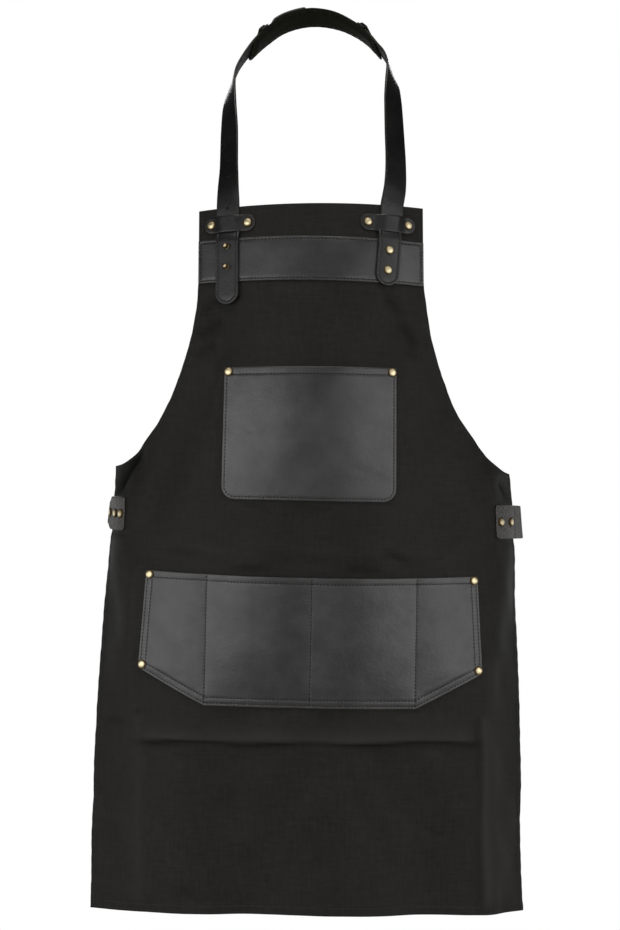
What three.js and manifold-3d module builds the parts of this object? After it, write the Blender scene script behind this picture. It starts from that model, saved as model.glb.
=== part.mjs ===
// Canvas work apron with leather trims, in its worn form.
// Millimetres, +Z up, the front faces -Y. The origin is the middle of the neck pad's inner face, at the nape.
// The canvas is a flat cut laid on a table of level sections: s runs across the cloth, level down it.
import * as THREE from "three";
import { mergeVertices } from "three/addons/utils/BufferGeometryUtils.js";
import Module from "manifold-3d";

const wasm = await Module();
wasm.setup();

// Walls and gaps
const canvasWall = 1.2;
const leatherWall = 2;
const strapWall = 3;
const seamGap = 0.4;

// Cut of the canvas: levels down the front and flat half widths
const bibTop = -250.5;
const bibStraightEnd = -321.5;
const waistCorner = -573.5;
const hemLevel = -1109.5;
const bibHalf = 142.5;
const skirtHalf = 285;
const bibDroop = 5;
const hemDroop = 5;
const armholeCurve = { rise: 2, roundness: 1.92 };

// Level sections of the worn canvas. bow is the radius of the rounded front. Each side panel starts to turn
// back at foldStart and keeps its heading, in degrees, past foldEnd. lean lowers the right side.
const sections = [
  { z: -250.5, front: -165, bow: 290, foldStart: 190, foldEnd: 260, leftTurn: 50, rightTurn: 48, lean: -0.012 },
  { z: -377.5, front: -180, bow: 300, foldStart: 195, foldEnd: 262, leftTurn: 55, rightTurn: 52, lean: 0 },
  { z: -497.5, front: -190, bow: 340, foldStart: 204, foldEnd: 270, leftTurn: 64, rightTurn: 57, lean: 0.009 },
  { z: -607.5, front: -193, bow: 400, foldStart: 215, foldEnd: 285, leftTurn: 78, rightTurn: 67, lean: 0.02 },
  { z: -697.5, front: -192, bow: 450, foldStart: 213, foldEnd: 264, leftTurn: 63, rightTurn: 60, lean: 0.02 },
  { z: -817.5, front: -190, bow: 500, foldStart: 212, foldEnd: 242, leftTurn: 42, rightTurn: 52, lean: 0.019 },
  { z: -1109.5, front: -184, bow: 680, foldStart: 212, foldEnd: 232, leftTurn: 33, rightTurn: 46, lean: 0.01 },
];

// Soft vertical folds of the skirt, deepest at the hem
const skirtFoldTop = -758;
const skirtFolds = [
  { s: -165, width: 38, depth: 7 },
  { s: -75, width: 40, depth: -5 },
  { s: 40, width: 48, depth: 5 },
  { s: 140, width: 36, depth: -6 },
];

// Chest band and pockets: levels and flat half widths
const band = { top: -291, bottom: -344.5, half: 142, tilt: 0.015 };
const chestPocket = {
  top: -449.5,
  bottom: -610.5,
  topHalf: 105,
  bottomHalf: 106,
  corner: 16,
  hollow: 2.5,
  topCentre: -0.6,
  bottomCentre: -3,
};
const lowerPocket = {
  top: -699,
  mouthSag: 4,
  sideCorner: -817.5,
  bottom: -859.5,
  topHalf: 208,
  sideHalf: 215.5,
  bottomHalf: 129,
  divider: 128,
  hollow: 3,
  topCentre: 1.2,
  bottomCentre: -2,
};
const pocketGap = 0.6;
const pocketSeam = 10;
const pocketSlope = 34;
const rivetInset = 5.4;

// Neck straps, their pad and their keepers
const strapHalf = 14.7;
const strapEndRadius = 14.7;
const strapTipRadius = 4;
const leftStrap = { topS: -102.3, lean: 0, end: -371.5, studs: [-300, -325.5] };
const rightStrap = { topS: 100, lean: 0.086, end: -349.5, rivets: [-306.3, -330.8] };
const adjustingHoles = { radius: 1.6, sides: 8, heights: [-170, -195.5, -217.5, -256] };
const neckStep = 10;
const strapLap = { leftTipX: -6, rightEndX: -42, ramp: 14, clear: 3 };
const bandStep = { from: 7.5, to: 3 };
const pad = { half: 22.5, wall: 5, edgeWall: 2.4, leftX: -77, rightX: 86, endRadius: 15 };
const padKeeper = { leftX: -61, rightX: 67.5, halfWidth: 5, wall: 2.4, rise: 4.6 };
const padKeeperColumns = [-21.8, -18.6, -16.4, -8, 0, 8, 16.4, 18.6, 21.8];
const keeper = { halfHeight: 10.2, rivetInset: 9.5, foot: 16.8, shoulder: 15.7, rise: 4.3 };
const keeperPlaces = {
  left: { s: -100.6, level: -271.2, turn: -0.4, half: 33, strap: leftStrap },
  right: { s: 95.4, level: -273, turn: -1.7, half: 35.5, strap: rightStrap },
};

// Course of the neck strap's inner face. facing turns its outer face, in degrees: 90 looks to the front, 0
// outward from the loop, and less than 0 to the back.
const leftCourse = [
  { x: -100.2, y: -139, z: -230, facing: 55 },
  { x: -99.5, y: -128, z: -201.5, facing: 47 },
  { x: -99.4, y: -112, z: -159.5, facing: 44 },
  { x: -99.5, y: -94, z: -118.5, facing: 30 },
  { x: -97.5, y: -80, z: -97, facing: 13 },
  { x: -93.8, y: -70, z: -81.5, facing: 0 },
  { x: -85.5, y: -54, z: -61.5, facing: -3 },
  { x: -69.5, y: -31, z: -36.5, facing: -10 },
  { x: -52, y: -15.5, z: -18.5, facing: -15 },
  { x: -32, y: -5.5, z: -4, facing: -19 },
];
const nape = { x: 0, y: 1.94, z: 5.04, facing: -21 };
const rightCourse = [
  { x: 101.8, y: -139, z: -230, facing: 59 },
  { x: 103, y: -128, z: -201.5, facing: 55 },
  { x: 101.8, y: -114, z: -159.5, facing: 52 },
  { x: 100.5, y: -97, z: -117.5, facing: 45 },
  { x: 99.8, y: -84, z: -93.5, facing: 32 },
  { x: 97.4, y: -72.5, z: -75, facing: 11 },
  { x: 94, y: -64, z: -62, facing: 3 },
  { x: 86.5, y: -47, z: -48, facing: 0 },
  { x: 74, y: -30, z: -29.5, facing: -4 },
  { x: 56.5, y: -15, z: -13.5, facing: -9 },
  { x: 33, y: -5.2, z: -0.5, facing: -17 },
];

// Waist tabs and straps: distances run outward from a tab's inner edge
const tab = { level: -632.5, half: 20.5, corner: 4.5 };
const leftTab = { side: -1, onCloth: 40, taperStart: 42, taperEnd: 62, end: 62, rivets: [6.5, 21.5, 47] };
const rightTab = { side: 1, onCloth: 43.5, taperStart: 66, taperEnd: 97, end: 69.5, rivets: [8, 31] };
const waistStrap = { half: 13.5, clearOfCloth: 3, wall: 2 };
const waistBack = { y: 50, z: -633.5, swing: 22, reach: 150 };
const clasp = { width: 52, height: 36, depth: 10, slot: 14 };

// Fasteners
const rivet = { cap: 5, rim: 0.7, dome: 2.2, shank: 1.5, back: 4, backWall: 1 };
const stud = { flange: 3.2, flangeWall: 0.5, neck: 1.9, neckTop: 1.5, ball: 3.4 };
const fastenerSides = 8;
const shankHoleSides = 6;
const shankClearance = 0.35;
const seatGap = 0.3;
const backGap = 0.6;

const finishes = {
  canvas: { color: 0x262523, roughness: 0.92, metalness: 0 },
  leather: { color: 0x2e2d2b, roughness: 0.5, metalness: 0 },
  suede: { color: 0x1b1b18, roughness: 0.95, metalness: 0 },
  brass: { color: 0xa98f5a, roughness: 0.35, metalness: 1 },
  blackMetal: { color: 0x1a1a1a, roughness: 0.4, metalness: 0.6 },
};

// Small helpers
const vec = (x, y, z) => new THREE.Vector3(x, y, z);
const radians = THREE.MathUtils.degToRad;
const up = vec(0, 0, 1);

function steps(count, from, to) {
  return Array.from({ length: count + 1 }, (_, i) => from + ((to - from) * i) / count);
}

// 0 at from, 1 at to, eased at both ends
function ramp(x, from, to) {
  const t = THREE.MathUtils.clamp((x - from) / (to - from), 0, 1);
  return t * t * (3 - 2 * t);
}

// Mirrors a list of falling positive distances about zero, giving rising positions
function mirrored(distances) {
  const right = distances.filter((d) => d > 0).reverse();
  return [...distances.map((d) => -d), ...right];
}

// Worn shape of the canvas

// A value of the section table at a level, eased through its rows
function sectionValue(column, level) {
  const last = sections.length - 1;
  if (level >= sections[0].z) return sections[0][column];
  if (level <= sections[last].z) return sections[last][column];
  const i = sections.findIndex((row, k) => level >= sections[k + 1].z);
  const slope = (k) => {
    const above = sections[Math.max(k - 1, 0)];
    const below = sections[Math.min(k + 1, last)];
    return (below[column] - above[column]) / (below.z - above.z);
  };
  const span = sections[i + 1].z - sections[i].z;
  const t = (level - sections[i].z) / span;
  const ease = t * t * (3 - 2 * t);
  const start = sections[i][column] * (1 - ease) + slope(i) * span * t * (1 - t) * (1 - t);
  const end = sections[i + 1][column] * ease - slope(i + 1) * span * t * t * (1 - t);
  return start + end;
}

// Walks along a chain of arcs that starts level with X
function walkArcs(distance, arcs) {
  const walk = { x: 0, setback: 0, heading: 0 };
  let left = distance;
  for (const { length, curvature } of arcs) {
    const run = Math.min(left, length);
    const heading = walk.heading + curvature * run;
    if (curvature === 0) {
      walk.x += run * Math.cos(heading);
      walk.setback += run * Math.sin(heading);
    } else {
      walk.x += (Math.sin(heading) - Math.sin(walk.heading)) / curvature;
      walk.setback += (Math.cos(walk.heading) - Math.cos(heading)) / curvature;
    }
    walk.heading = heading;
    left -= run;
    if (left <= 0) break;
  }
  return walk;
}

function foldDepth(s, level) {
  const swell = (fold) => fold.depth * Math.exp(-(((s - fold.s) / fold.width) ** 2));
  const sum = skirtFolds.reduce((total, fold) => total + swell(fold), 0);
  return sum * ramp(level, skirtFoldTop, hemLevel);
}

function clothBase(s, level) {
  const side = s < 0 ? -1 : 1;
  const bow = sectionValue("bow", level);
  const foldStart = sectionValue("foldStart", level);
  const foldLength = sectionValue("foldEnd", level) - foldStart;
  const turn = radians(sectionValue(side < 0 ? "leftTurn" : "rightTurn", level));
  const walk = walkArcs(Math.abs(s), [
    { length: foldStart, curvature: 1 / bow },
    { length: foldLength, curvature: (turn - foldStart / bow) / foldLength },
    { length: Infinity, curvature: 0 },
  ]);
  const depth = foldDepth(s, level);
  const bibSag = bibDroop * (s / bibHalf) ** 2 * ramp(level, waistCorner, bibTop);
  const hemSag = hemDroop * (s / skirtHalf) ** 2 * ramp(level, skirtFoldTop, hemLevel);
  return vec(
    side * (walk.x + depth * Math.sin(walk.heading)),
    sectionValue("front", level) + walk.setback - depth * Math.cos(walk.heading),
    level - sectionValue("lean", level) * s - bibSag - hemSag,
  );
}

// A point on the canvas's outer face with its outward direction
function clothFrame(s, level) {
  const reach = 1;
  const across = clothBase(s + reach, level).sub(clothBase(s - reach, level));
  const rise = clothBase(s, level + reach).sub(clothBase(s, level - reach));
  return { at: clothBase(s, level), out: across.cross(rise).normalize() };
}

function clothPoint(s, level, offset) {
  const { at, out } = clothFrame(s, level);
  return at.addScaledVector(out, offset);
}

// Flat half width of the cut at a level
function cutHalf(level) {
  const t = THREE.MathUtils.clamp((bibStraightEnd - level) / (bibStraightEnd - waistCorner), 0, 1);
  const curve = 1 - (1 - t ** armholeCurve.rise) ** (1 / armholeCurve.roundness);
  return bibHalf + (skirtHalf - bibHalf) * curve;
}

// Closed walls

// A wall between two grids of points: columns run left to right and rows top to bottom, seen from outside
function wallGeometry(columns, rows, place) {
  const positions = [];
  for (const outside of [false, true]) {
    for (const row of rows) {
      for (const column of columns) positions.push(...place(column, row, outside).toArray());
    }
  }
  const wide = columns.length;
  const tall = rows.length;
  const inner = (r, c) => r * wide + c;
  const outer = (r, c) => (tall + r) * wide + c;
  const index = [];
  for (let r = 0; r < tall - 1; r += 1) {
    for (let c = 0; c < wide - 1; c += 1) {
      index.push(outer(r, c), outer(r + 1, c), outer(r + 1, c + 1));
      index.push(outer(r, c), outer(r + 1, c + 1), outer(r, c + 1));
      index.push(inner(r, c), inner(r + 1, c + 1), inner(r + 1, c));
      index.push(inner(r, c), inner(r, c + 1), inner(r + 1, c + 1));
    }
  }
  const rim = [];
  for (let r = 0; r < tall - 1; r += 1) rim.push([r, 0]);
  for (let c = 0; c < wide - 1; c += 1) rim.push([tall - 1, c]);
  for (let r = tall - 1; r > 0; r -= 1) rim.push([r, wide - 1]);
  for (let c = wide - 1; c > 0; c -= 1) rim.push([0, c]);
  rim.forEach(([r, c], i) => {
    const [nextR, nextC] = rim[(i + 1) % rim.length];
    index.push(outer(nextR, nextC), outer(r, c), inner(r, c));
    index.push(outer(nextR, nextC), inner(r, c), inner(nextR, nextC));
  });
  const geometry = new THREE.BufferGeometry();
  geometry.setAttribute("position", new THREE.Float32BufferAttribute(positions, 3));
  geometry.setIndex(index);
  return geometry;
}

// A smooth course through stations, each a point with the direction that its outer face looks
function courseOf(stations) {
  const path = new THREE.CatmullRomCurve3(stations.map((station) => station.at), false, "centripetal");
  const facing = new THREE.CatmullRomCurve3(stations.map((station) => station.out), false, "centripetal");
  const count = stations.length * 20;
  const points = path.getPoints(count);
  const lengths = [0];
  for (let i = 1; i <= count; i += 1) lengths.push(lengths[i - 1] + points[i].distanceTo(points[i - 1]));
  const at = (length) => {
    const next = lengths.findIndex((value) => value >= length);
    const i = next < 0 ? count : Math.max(next, 1);
    const part = (length - lengths[i - 1]) / (lengths[i] - lengths[i - 1]);
    const t = THREE.MathUtils.clamp((i - 1 + part) / count, 0, 1);
    const along = path.getTangent(t);
    const hint = facing.getPoint(t);
    const out = hint.addScaledVector(along, -hint.dot(along)).normalize();
    return { point: path.getPoint(t), out, across: along.clone().cross(out), length };
  };
  const where = (test) => lengths[points.findIndex(test)];
  return { at, where, total: lengths[count] };
}

// A strap that follows a course between two lengths along it
function strapGeometry(course, lengths, { half, inner, outer, columns = [-1, 1] }) {
  const rows = lengths.map((length) => course.at(length)).reverse();
  return wallGeometry(columns, rows, (column, row, outside) => {
    const offset = outside ? outer(column, row.length) : inner(column, row.length);
    return row.point
      .clone()
      .addScaledVector(row.across, column * half(row.length))
      .addScaledVector(row.out, offset);
  });
}

// How much a round end of a given radius narrows a strap at a distance from its tip
function roundEnd(distance, radius) {
  const inside = THREE.MathUtils.clamp(radius - distance, 0, radius);
  return radius - Math.sqrt(radius * radius - inside * inside);
}

// Distances from a tip that follow its round end
function tipLengths(radius) {
  return [20, 40, 65, 90].map((angle) => radius * (1 - Math.cos(radians(angle))));
}

// Booleans

function solidOf(geometry) {
  const bare = geometry.clone();
  bare.deleteAttribute("normal");
  bare.deleteAttribute("uv");
  const merged = mergeVertices(bare);
  return new wasm.Manifold(
    new wasm.Mesh({
      numProp: 3,
      vertProperties: Float32Array.from(merged.attributes.position.array),
      triVerts: Uint32Array.from(merged.index.array),
    }),
  );
}

function geometryOf(solid) {
  const mesh = solid.getMesh();
  const geometry = new THREE.BufferGeometry();
  geometry.setAttribute("position", new THREE.BufferAttribute(mesh.vertProperties, 3));
  geometry.setIndex(new THREE.BufferAttribute(mesh.triVerts, 1));
  return geometry;
}

// Stands a piece made along +Y on a point, along a direction
function standOn(geometry, at, out) {
  geometry.applyQuaternion(new THREE.Quaternion().setFromUnitVectors(vec(0, 1, 0), out));
  return geometry.translate(at.x, at.y, at.z);
}

function drilled(geometry, holes) {
  const drillReach = 24;
  let solid = solidOf(geometry);
  for (const { at, out, radius, sides } of holes) {
    const bit = new THREE.CylinderGeometry(radius, radius, drillReach, sides);
    solid = solid.subtract(solidOf(standOn(bit, at, out)));
  }
  return geometryOf(solid);
}

// Canvas

function canvasGeometry() {
  const frontShare = 0.74;
  const columns = mirrored([...steps(6, 1, frontShare), ...steps(7, frontShare, 0).slice(1)]);
  const armhole = steps(9, 0, 90).map(
    (angle) => bibStraightEnd + (waistCorner - bibStraightEnd) * Math.sin(radians(angle)),
  );
  const rows = [
    ...steps(3, bibTop, bibStraightEnd).slice(0, -1),
    ...armhole,
    ...steps(12, waistCorner, hemLevel).slice(1),
  ];
  return wallGeometry(columns, rows, (column, level, outside) =>
    clothPoint(column * cutHalf(level), level, outside ? 0 : -canvasWall),
  );
}

// Leather sewn on the canvas

function bandGeometry() {
  const columns = steps(18, -band.half, band.half);
  const rows = [band.top, band.bottom];
  return wallGeometry(columns, rows, (s, level, outside) =>
    clothPoint(s, level - band.tilt * s, seamGap + (outside ? leatherWall : 0)),
  );
}

// A pocket's middle line at a level
function pocketCentre({ top, bottom, topCentre, bottomCentre }, level) {
  return topCentre + ((bottomCentre - topCentre) * (top - level)) / (top - bottom);
}

// How far a pocket stands off the canvas, from the distances to its nearest seams
function standOff(hollow, distances) {
  return distances.reduce((lift, distance) => lift * ramp(distance, pocketSeam, pocketSlope), hollow);
}

function chestPocketGeometry() {
  const { top, bottom, topHalf, bottomHalf, corner, hollow } = chestPocket;
  const cornerLevels = steps(4, 0, 90).map((angle) => bottom + corner * (1 - Math.sin(radians(angle))));
  const rows = [...steps(5, top, bottom + corner).slice(0, -1), ...cornerLevels];
  const columns = mirrored([1, 0.9, 0.78, 0.62, 0.42, 0.2, 0]);
  const halfAt = (level) => {
    const straight = topHalf + ((bottomHalf - topHalf) * (top - level)) / (top - bottom);
    return straight - roundEnd(level - bottom, corner);
  };
  return wallGeometry(columns, rows, (column, level, outside) => {
    const x = column * halfAt(level);
    const lift = pocketGap + standOff(hollow, [bottomHalf - Math.abs(x), level - bottom]);
    return clothPoint(pocketCentre(chestPocket, level) + x, level, lift + (outside ? leatherWall : 0));
  });
}

function lowerPocketHalf(level) {
  const { top, sideCorner, bottom, topHalf, sideHalf, bottomHalf } = lowerPocket;
  if (level > sideCorner) return topHalf + ((sideHalf - topHalf) * (top - level)) / (top - sideCorner);
  return sideHalf + ((bottomHalf - sideHalf) * (sideCorner - level)) / (sideCorner - bottom);
}

function lowerPocketGeometry() {
  const { top, mouthSag, sideCorner, bottom, divider, hollow } = lowerPocket;
  const rows = [...steps(4, top, sideCorner), ...steps(3, sideCorner, bottom).slice(1)];
  const columns = mirrored([1, 0.95, 0.87, 0.78, 0.7, 0.61, 0.52, 0.42, 0.31, 0.2, 0.1, 0]);
  return wallGeometry(columns, rows, (column, level, outside) => {
    const half = lowerPocketHalf(level);
    const x = column * half;
    const toDivider = Math.min(Math.abs(x), Math.abs(Math.abs(x) - divider));
    const lift = pocketGap + standOff(hollow, [half - Math.abs(x), level - bottom, toDivider + pocketSeam]);
    const sag = mouthSag * (1 - column * column) * ramp(level, sideCorner, top);
    return clothPoint(pocketCentre(lowerPocket, level) + x, level - sag, lift + (outside ? leatherWall : 0));
  });
}

// Leather strip that crosses a strap and is riveted to the bib at both ends
function keeperGeometry(place) {
  const strapAt = strapCentre(place.strap, place.level) - place.s;
  const bend = mirrored([keeper.foot, keeper.shoulder, 0]).map((x) => x + strapAt);
  const straight = place.half - keeper.halfHeight;
  const columns = [-place.half, -straight, ...bend, straight, place.half];
  const rows = steps(6, 90, -90).map((angle) => keeper.halfHeight * Math.sin(radians(angle)));
  return wallGeometry(columns, rows, (column, row, outside) => {
    const end = place.half - roundEnd(keeper.halfHeight - Math.abs(row), keeper.halfHeight);
    const x = THREE.MathUtils.clamp(column, -end, end);
    const lift = seamGap + keeper.rise * ramp(Math.abs(x - strapAt), keeper.foot, keeper.shoulder);
    const { s, level } = keeperSpot(place, x, row);
    return clothPoint(s, level, lift + (outside ? leatherWall : 0));
  });
}

// Place on the cloth of a point along and across a keeper
function keeperSpot(place, x, y) {
  const turn = radians(place.turn);
  return {
    s: place.s + x * Math.cos(turn) - y * Math.sin(turn),
    level: place.level + x * Math.sin(turn) + y * Math.cos(turn),
  };
}

// Neck straps

// Where a strap's centre line runs on the bib
function strapCentre(strap, level) {
  return strap.topS - strap.lean * (bibTop - level);
}

// Height of a strap's inner face over the canvas: it steps up onto the chest band
function strapLift(level) {
  const onBand = ramp(level, band.top + bandStep.from, band.top + bandStep.to);
  return seamGap + (leatherWall + seamGap) * onBand;
}

function bibStations(strap) {
  const overTop = 5;
  const levels = [
    ...steps(4, strap.end, band.top),
    band.top + bandStep.to,
    band.top + bandStep.from,
    ...steps(2, band.top + 2 * bandStep.from, bibTop),
    bibTop + overTop,
  ];
  return levels.map((level) => {
    const { at, out } = clothFrame(strapCentre(strap, level), level);
    return { at: at.addScaledVector(out, strapLift(level)), out };
  });
}

// Stations of the strap over the shoulders, from left to right
function shoulderStations() {
  const rows = [...leftCourse, nape, ...rightCourse.toReversed()];
  const points = rows.map(({ x, y, z }) => vec(x, y, z));
  return rows.map(({ facing }, i) => {
    const before = points[Math.max(i - 1, 0)];
    const after = points[Math.min(i + 1, rows.length - 1)];
    const along = after.clone().sub(before).normalize();
    const front = vec(0, -1, 0);
    front.addScaledVector(along, -front.dot(along)).normalize();
    const outward = front.clone().cross(along);
    const out = outward.multiplyScalar(Math.cos(radians(facing)));
    return { at: points[i], out: out.addScaledVector(front, Math.sin(radians(facing))) };
  });
}

const neckCourse = courseOf([
  ...bibStations(leftStrap),
  ...shoulderStations(),
  ...bibStations(rightStrap).reverse(),
]);
const rightLapStart = neckCourse.where((point) => point.x >= strapLap.rightEndX);
const leftTip = neckCourse.where((point) => point.x >= strapLap.leftTipX);
const neckStations = steps(Math.round(neckCourse.total / neckStep), 0, neckCourse.total);

// The course's stations between two lengths, shared by all the layers that lie on each other
function neckBetween(from, to) {
  const clear = neckStep / 4;
  return neckStations.filter((length) => length > from + clear && length < to - clear);
}

function leftStrapGeometry() {
  const half = (length) =>
    strapHalf - roundEnd(length, strapEndRadius) - roundEnd(leftTip - length, strapTipRadius);
  const lap = (length) =>
    (strapWall + seamGap) * ramp(length, rightLapStart - strapLap.ramp, rightLapStart - strapLap.clear);
  const lengths = [
    ...tipLengths(strapEndRadius),
    ...neckBetween(strapEndRadius, leftTip - strapTipRadius),
    leftTip - strapTipRadius,
    leftTip - 0.3 * strapTipRadius,
  ];
  return strapGeometry(neckCourse, lengths, {
    half,
    inner: (column, length) => lap(length),
    outer: (column, length) => lap(length) + strapWall,
  });
}

function rightStrapGeometry() {
  const { total } = neckCourse;
  const half = (length) => strapHalf - roundEnd(total - length, strapEndRadius);
  const lengths = [
    rightLapStart,
    ...neckBetween(rightLapStart, total - strapEndRadius),
    ...tipLengths(strapEndRadius).reverse().map((length) => total - length),
  ];
  return strapGeometry(neckCourse, lengths, {
    half,
    inner: () => 0,
    outer: () => strapWall,
  });
}

function padGeometry() {
  const start = neckCourse.where((point) => point.x >= pad.leftX);
  const end = neckCourse.where((point) => point.x >= pad.rightX);
  const half = (length) => pad.half - roundEnd(Math.min(length - start, end - length), pad.endRadius);
  const tip = tipLengths(pad.endRadius);
  const lengths = [
    ...tip.map((length) => start + length),
    ...neckBetween(start + pad.endRadius, end - pad.endRadius),
    ...tip.reverse().map((length) => end - length),
  ];
  const wall = (column) => pad.edgeWall + (pad.wall - pad.edgeWall) * (1 - column ** 4);
  return strapGeometry(neckCourse, lengths, {
    half,
    inner: (column) => -seamGap - wall(column),
    outer: () => -seamGap,
    columns: [-1, -0.75, 0, 0.75, 1],
  });
}

function padKeeperGeometry(x) {
  const middle = neckCourse.where((point) => point.x >= x);
  const lengths = steps(2, middle - padKeeper.halfWidth, middle + padKeeper.halfWidth);
  const [, foot, shoulder] = padKeeperColumns.map(Math.abs);
  const lift = (column) => padKeeper.rise * ramp(Math.abs(column), foot, shoulder);
  return strapGeometry(neckCourse, lengths, {
    half: () => 1,
    inner: (column) => lift(column),
    outer: (column) => lift(column) + padKeeper.wall,
    columns: padKeeperColumns,
  });
}

// Waist straps

// Position across the cloth at a distance outward from a tab's inner edge
function tabS({ side, onCloth }, distance) {
  return side * (skirtHalf - onCloth + distance);
}

function tabHalf({ taperStart, taperEnd }, distance) {
  const taper = ramp(distance, taperStart, taperEnd);
  return tab.half - roundEnd(distance, tab.corner) - (tab.half - waistStrap.half) * taper;
}

function tabStations(place, distances, lift) {
  return distances.map((distance) => {
    const { at, out } = clothFrame(tabS(place, distance), tab.level);
    return { at: at.addScaledVector(out, lift), out };
  });
}

// Stations from the end of a tab round to the clasp at the middle of the back
function backStations(side, stations) {
  const [before, start] = stations.slice(-2);
  const leaving = start.at.clone().sub(before.at).normalize();
  const meets = vec((side * clasp.width) / 2, waistBack.y, waistBack.z);
  const swing = new THREE.CubicBezierCurve3(
    start.at,
    start.at.clone().addScaledVector(leaving, waistBack.swing),
    meets.clone().add(vec(side * waistBack.reach, 0, 0)),
    meets,
  );
  const round = steps(8, 0, 1).slice(1).map((t) => {
    const out = up.clone().cross(swing.getTangent(t)).multiplyScalar(-side).normalize();
    return { at: swing.getPoint(t), out };
  });
  const inClasp = vec(side * (clasp.width / 2 - clasp.slot + 1), waistBack.y, waistBack.z);
  return [...stations, ...round, { at: inClasp, out: vec(0, 1, 0) }];
}

// A strap whose first stretch is a tab that lies on the cloth's side panel
function tabbedGeometry(place, course, lengths) {
  const rows = lengths.map((length) => course.at(length)).reverse();
  return wallGeometry([-1, 0, 1], rows, (column, row, outside) => {
    const rise = column * tabHalf(place, row.length);
    const lift = outside ? leatherWall : 0;
    const free = row.point.clone().addScaledVector(row.across, rise).addScaledVector(row.out, lift);
    const level = tab.level + rise * Math.sign(row.across.z);
    const sewn = clothPoint(tabS(place, Math.min(row.length, place.end)), level, seamGap + lift);
    return sewn.lerp(free, ramp(row.length, place.onCloth + waistStrap.clearOfCloth, place.end));
  });
}

// Lengths along a tab: close over its round inner corners, then even
function tabLengths({ end }) {
  return [0.1 * tab.corner, 0.4 * tab.corner, ...steps(8, tab.corner, end)];
}

const leftStrapStart = leftTab.onCloth + waistStrap.clearOfCloth;
const tabCourse = courseOf(tabStations(leftTab, steps(7, 0, leftTab.end + 1), seamGap));
const leftWaistCourse = courseOf(
  backStations(-1, tabStations(leftTab, steps(3, leftStrapStart, leftTab.end), -waistStrap.wall)),
);
const rightWaistCourse = courseOf(backStations(1, tabStations(rightTab, steps(7, 0, rightTab.end), seamGap)));

function leftWaistStrapGeometry() {
  return strapGeometry(leftWaistCourse, steps(20, 0, leftWaistCourse.total), {
    half: () => waistStrap.half,
    inner: () => 0,
    outer: () => waistStrap.wall,
  });
}

function rightWaistStrapGeometry() {
  const round = steps(18, rightTab.end, rightWaistCourse.total).slice(1);
  return tabbedGeometry(rightTab, rightWaistCourse, [...tabLengths(rightTab), ...round]);
}

// Plain block with a slot at each side for a strap's end
function claspGeometry() {
  const middle = vec(0, waistBack.y + waistStrap.wall / 2, waistBack.z);
  const block = new THREE.BoxGeometry(clasp.width, clasp.depth, clasp.height);
  let solid = solidOf(block.translate(middle.x, middle.y, middle.z));
  for (const side of [-1, 1]) {
    const slot = new THREE.BoxGeometry(
      2 * clasp.slot,
      waistStrap.wall + 2 * seamGap,
      2 * (waistStrap.half + seamGap),
    );
    slot.translate(middle.x + (side * clasp.width) / 2, middle.y, middle.z);
    solid = solid.subtract(solidOf(slot));
  }
  return geometryOf(solid);
}

// Fasteners

function turned(profile) {
  return new THREE.LatheGeometry(
    profile.map(([radius, height]) => new THREE.Vector2(radius, height)),
    fastenerSides,
  );
}

// Back cap and shank, up to where a head begins
function shankProfile(front, back) {
  return [
    [0, back - backGap - rivet.backWall],
    [rivet.back, back - backGap - rivet.backWall],
    [rivet.back, back - backGap],
    [rivet.shank, back - backGap],
    [rivet.shank, front + seatGap],
  ];
}

function rivetGeometry(front, back) {
  const seat = front + seatGap;
  return turned([
    ...shankProfile(front, back),
    [rivet.cap, seat],
    [rivet.cap, seat + rivet.rim],
    [0.68 * rivet.cap, seat + 0.86 * rivet.dome],
    [0, seat + rivet.dome],
  ]);
}

function studGeometry(front, back) {
  const seat = front + seatGap;
  const centre = seat + stud.neckTop + 0.8 * stud.ball;
  const ball = [-50, -10, 30, 62].map((angle) => [
    stud.ball * Math.cos(radians(angle)),
    centre + stud.ball * Math.sin(radians(angle)),
  ]);
  return turned([
    ...shankProfile(front, back),
    [stud.flange, seat],
    [stud.flange, seat + stud.flangeWall],
    [stud.neck, seat + stud.flangeWall],
    [stud.neck, seat + 0.8 * stud.neckTop],
    ...ball,
    [0, centre + stud.ball],
  ]);
}

const sewnFace = seamGap + leatherWall;
const pocketFace = pocketGap + leatherWall;
const strapFace = strapLift(band.bottom) + strapWall;
const clothBack = -canvasWall;
const fasteners = [];

function addFastener(name, head, s, level, front, back, through) {
  const frame = clothFrame(s, level);
  fasteners.push({ name, through, frame, geometry: standOn(head(front, back), frame.at, frame.out) });
}

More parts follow.
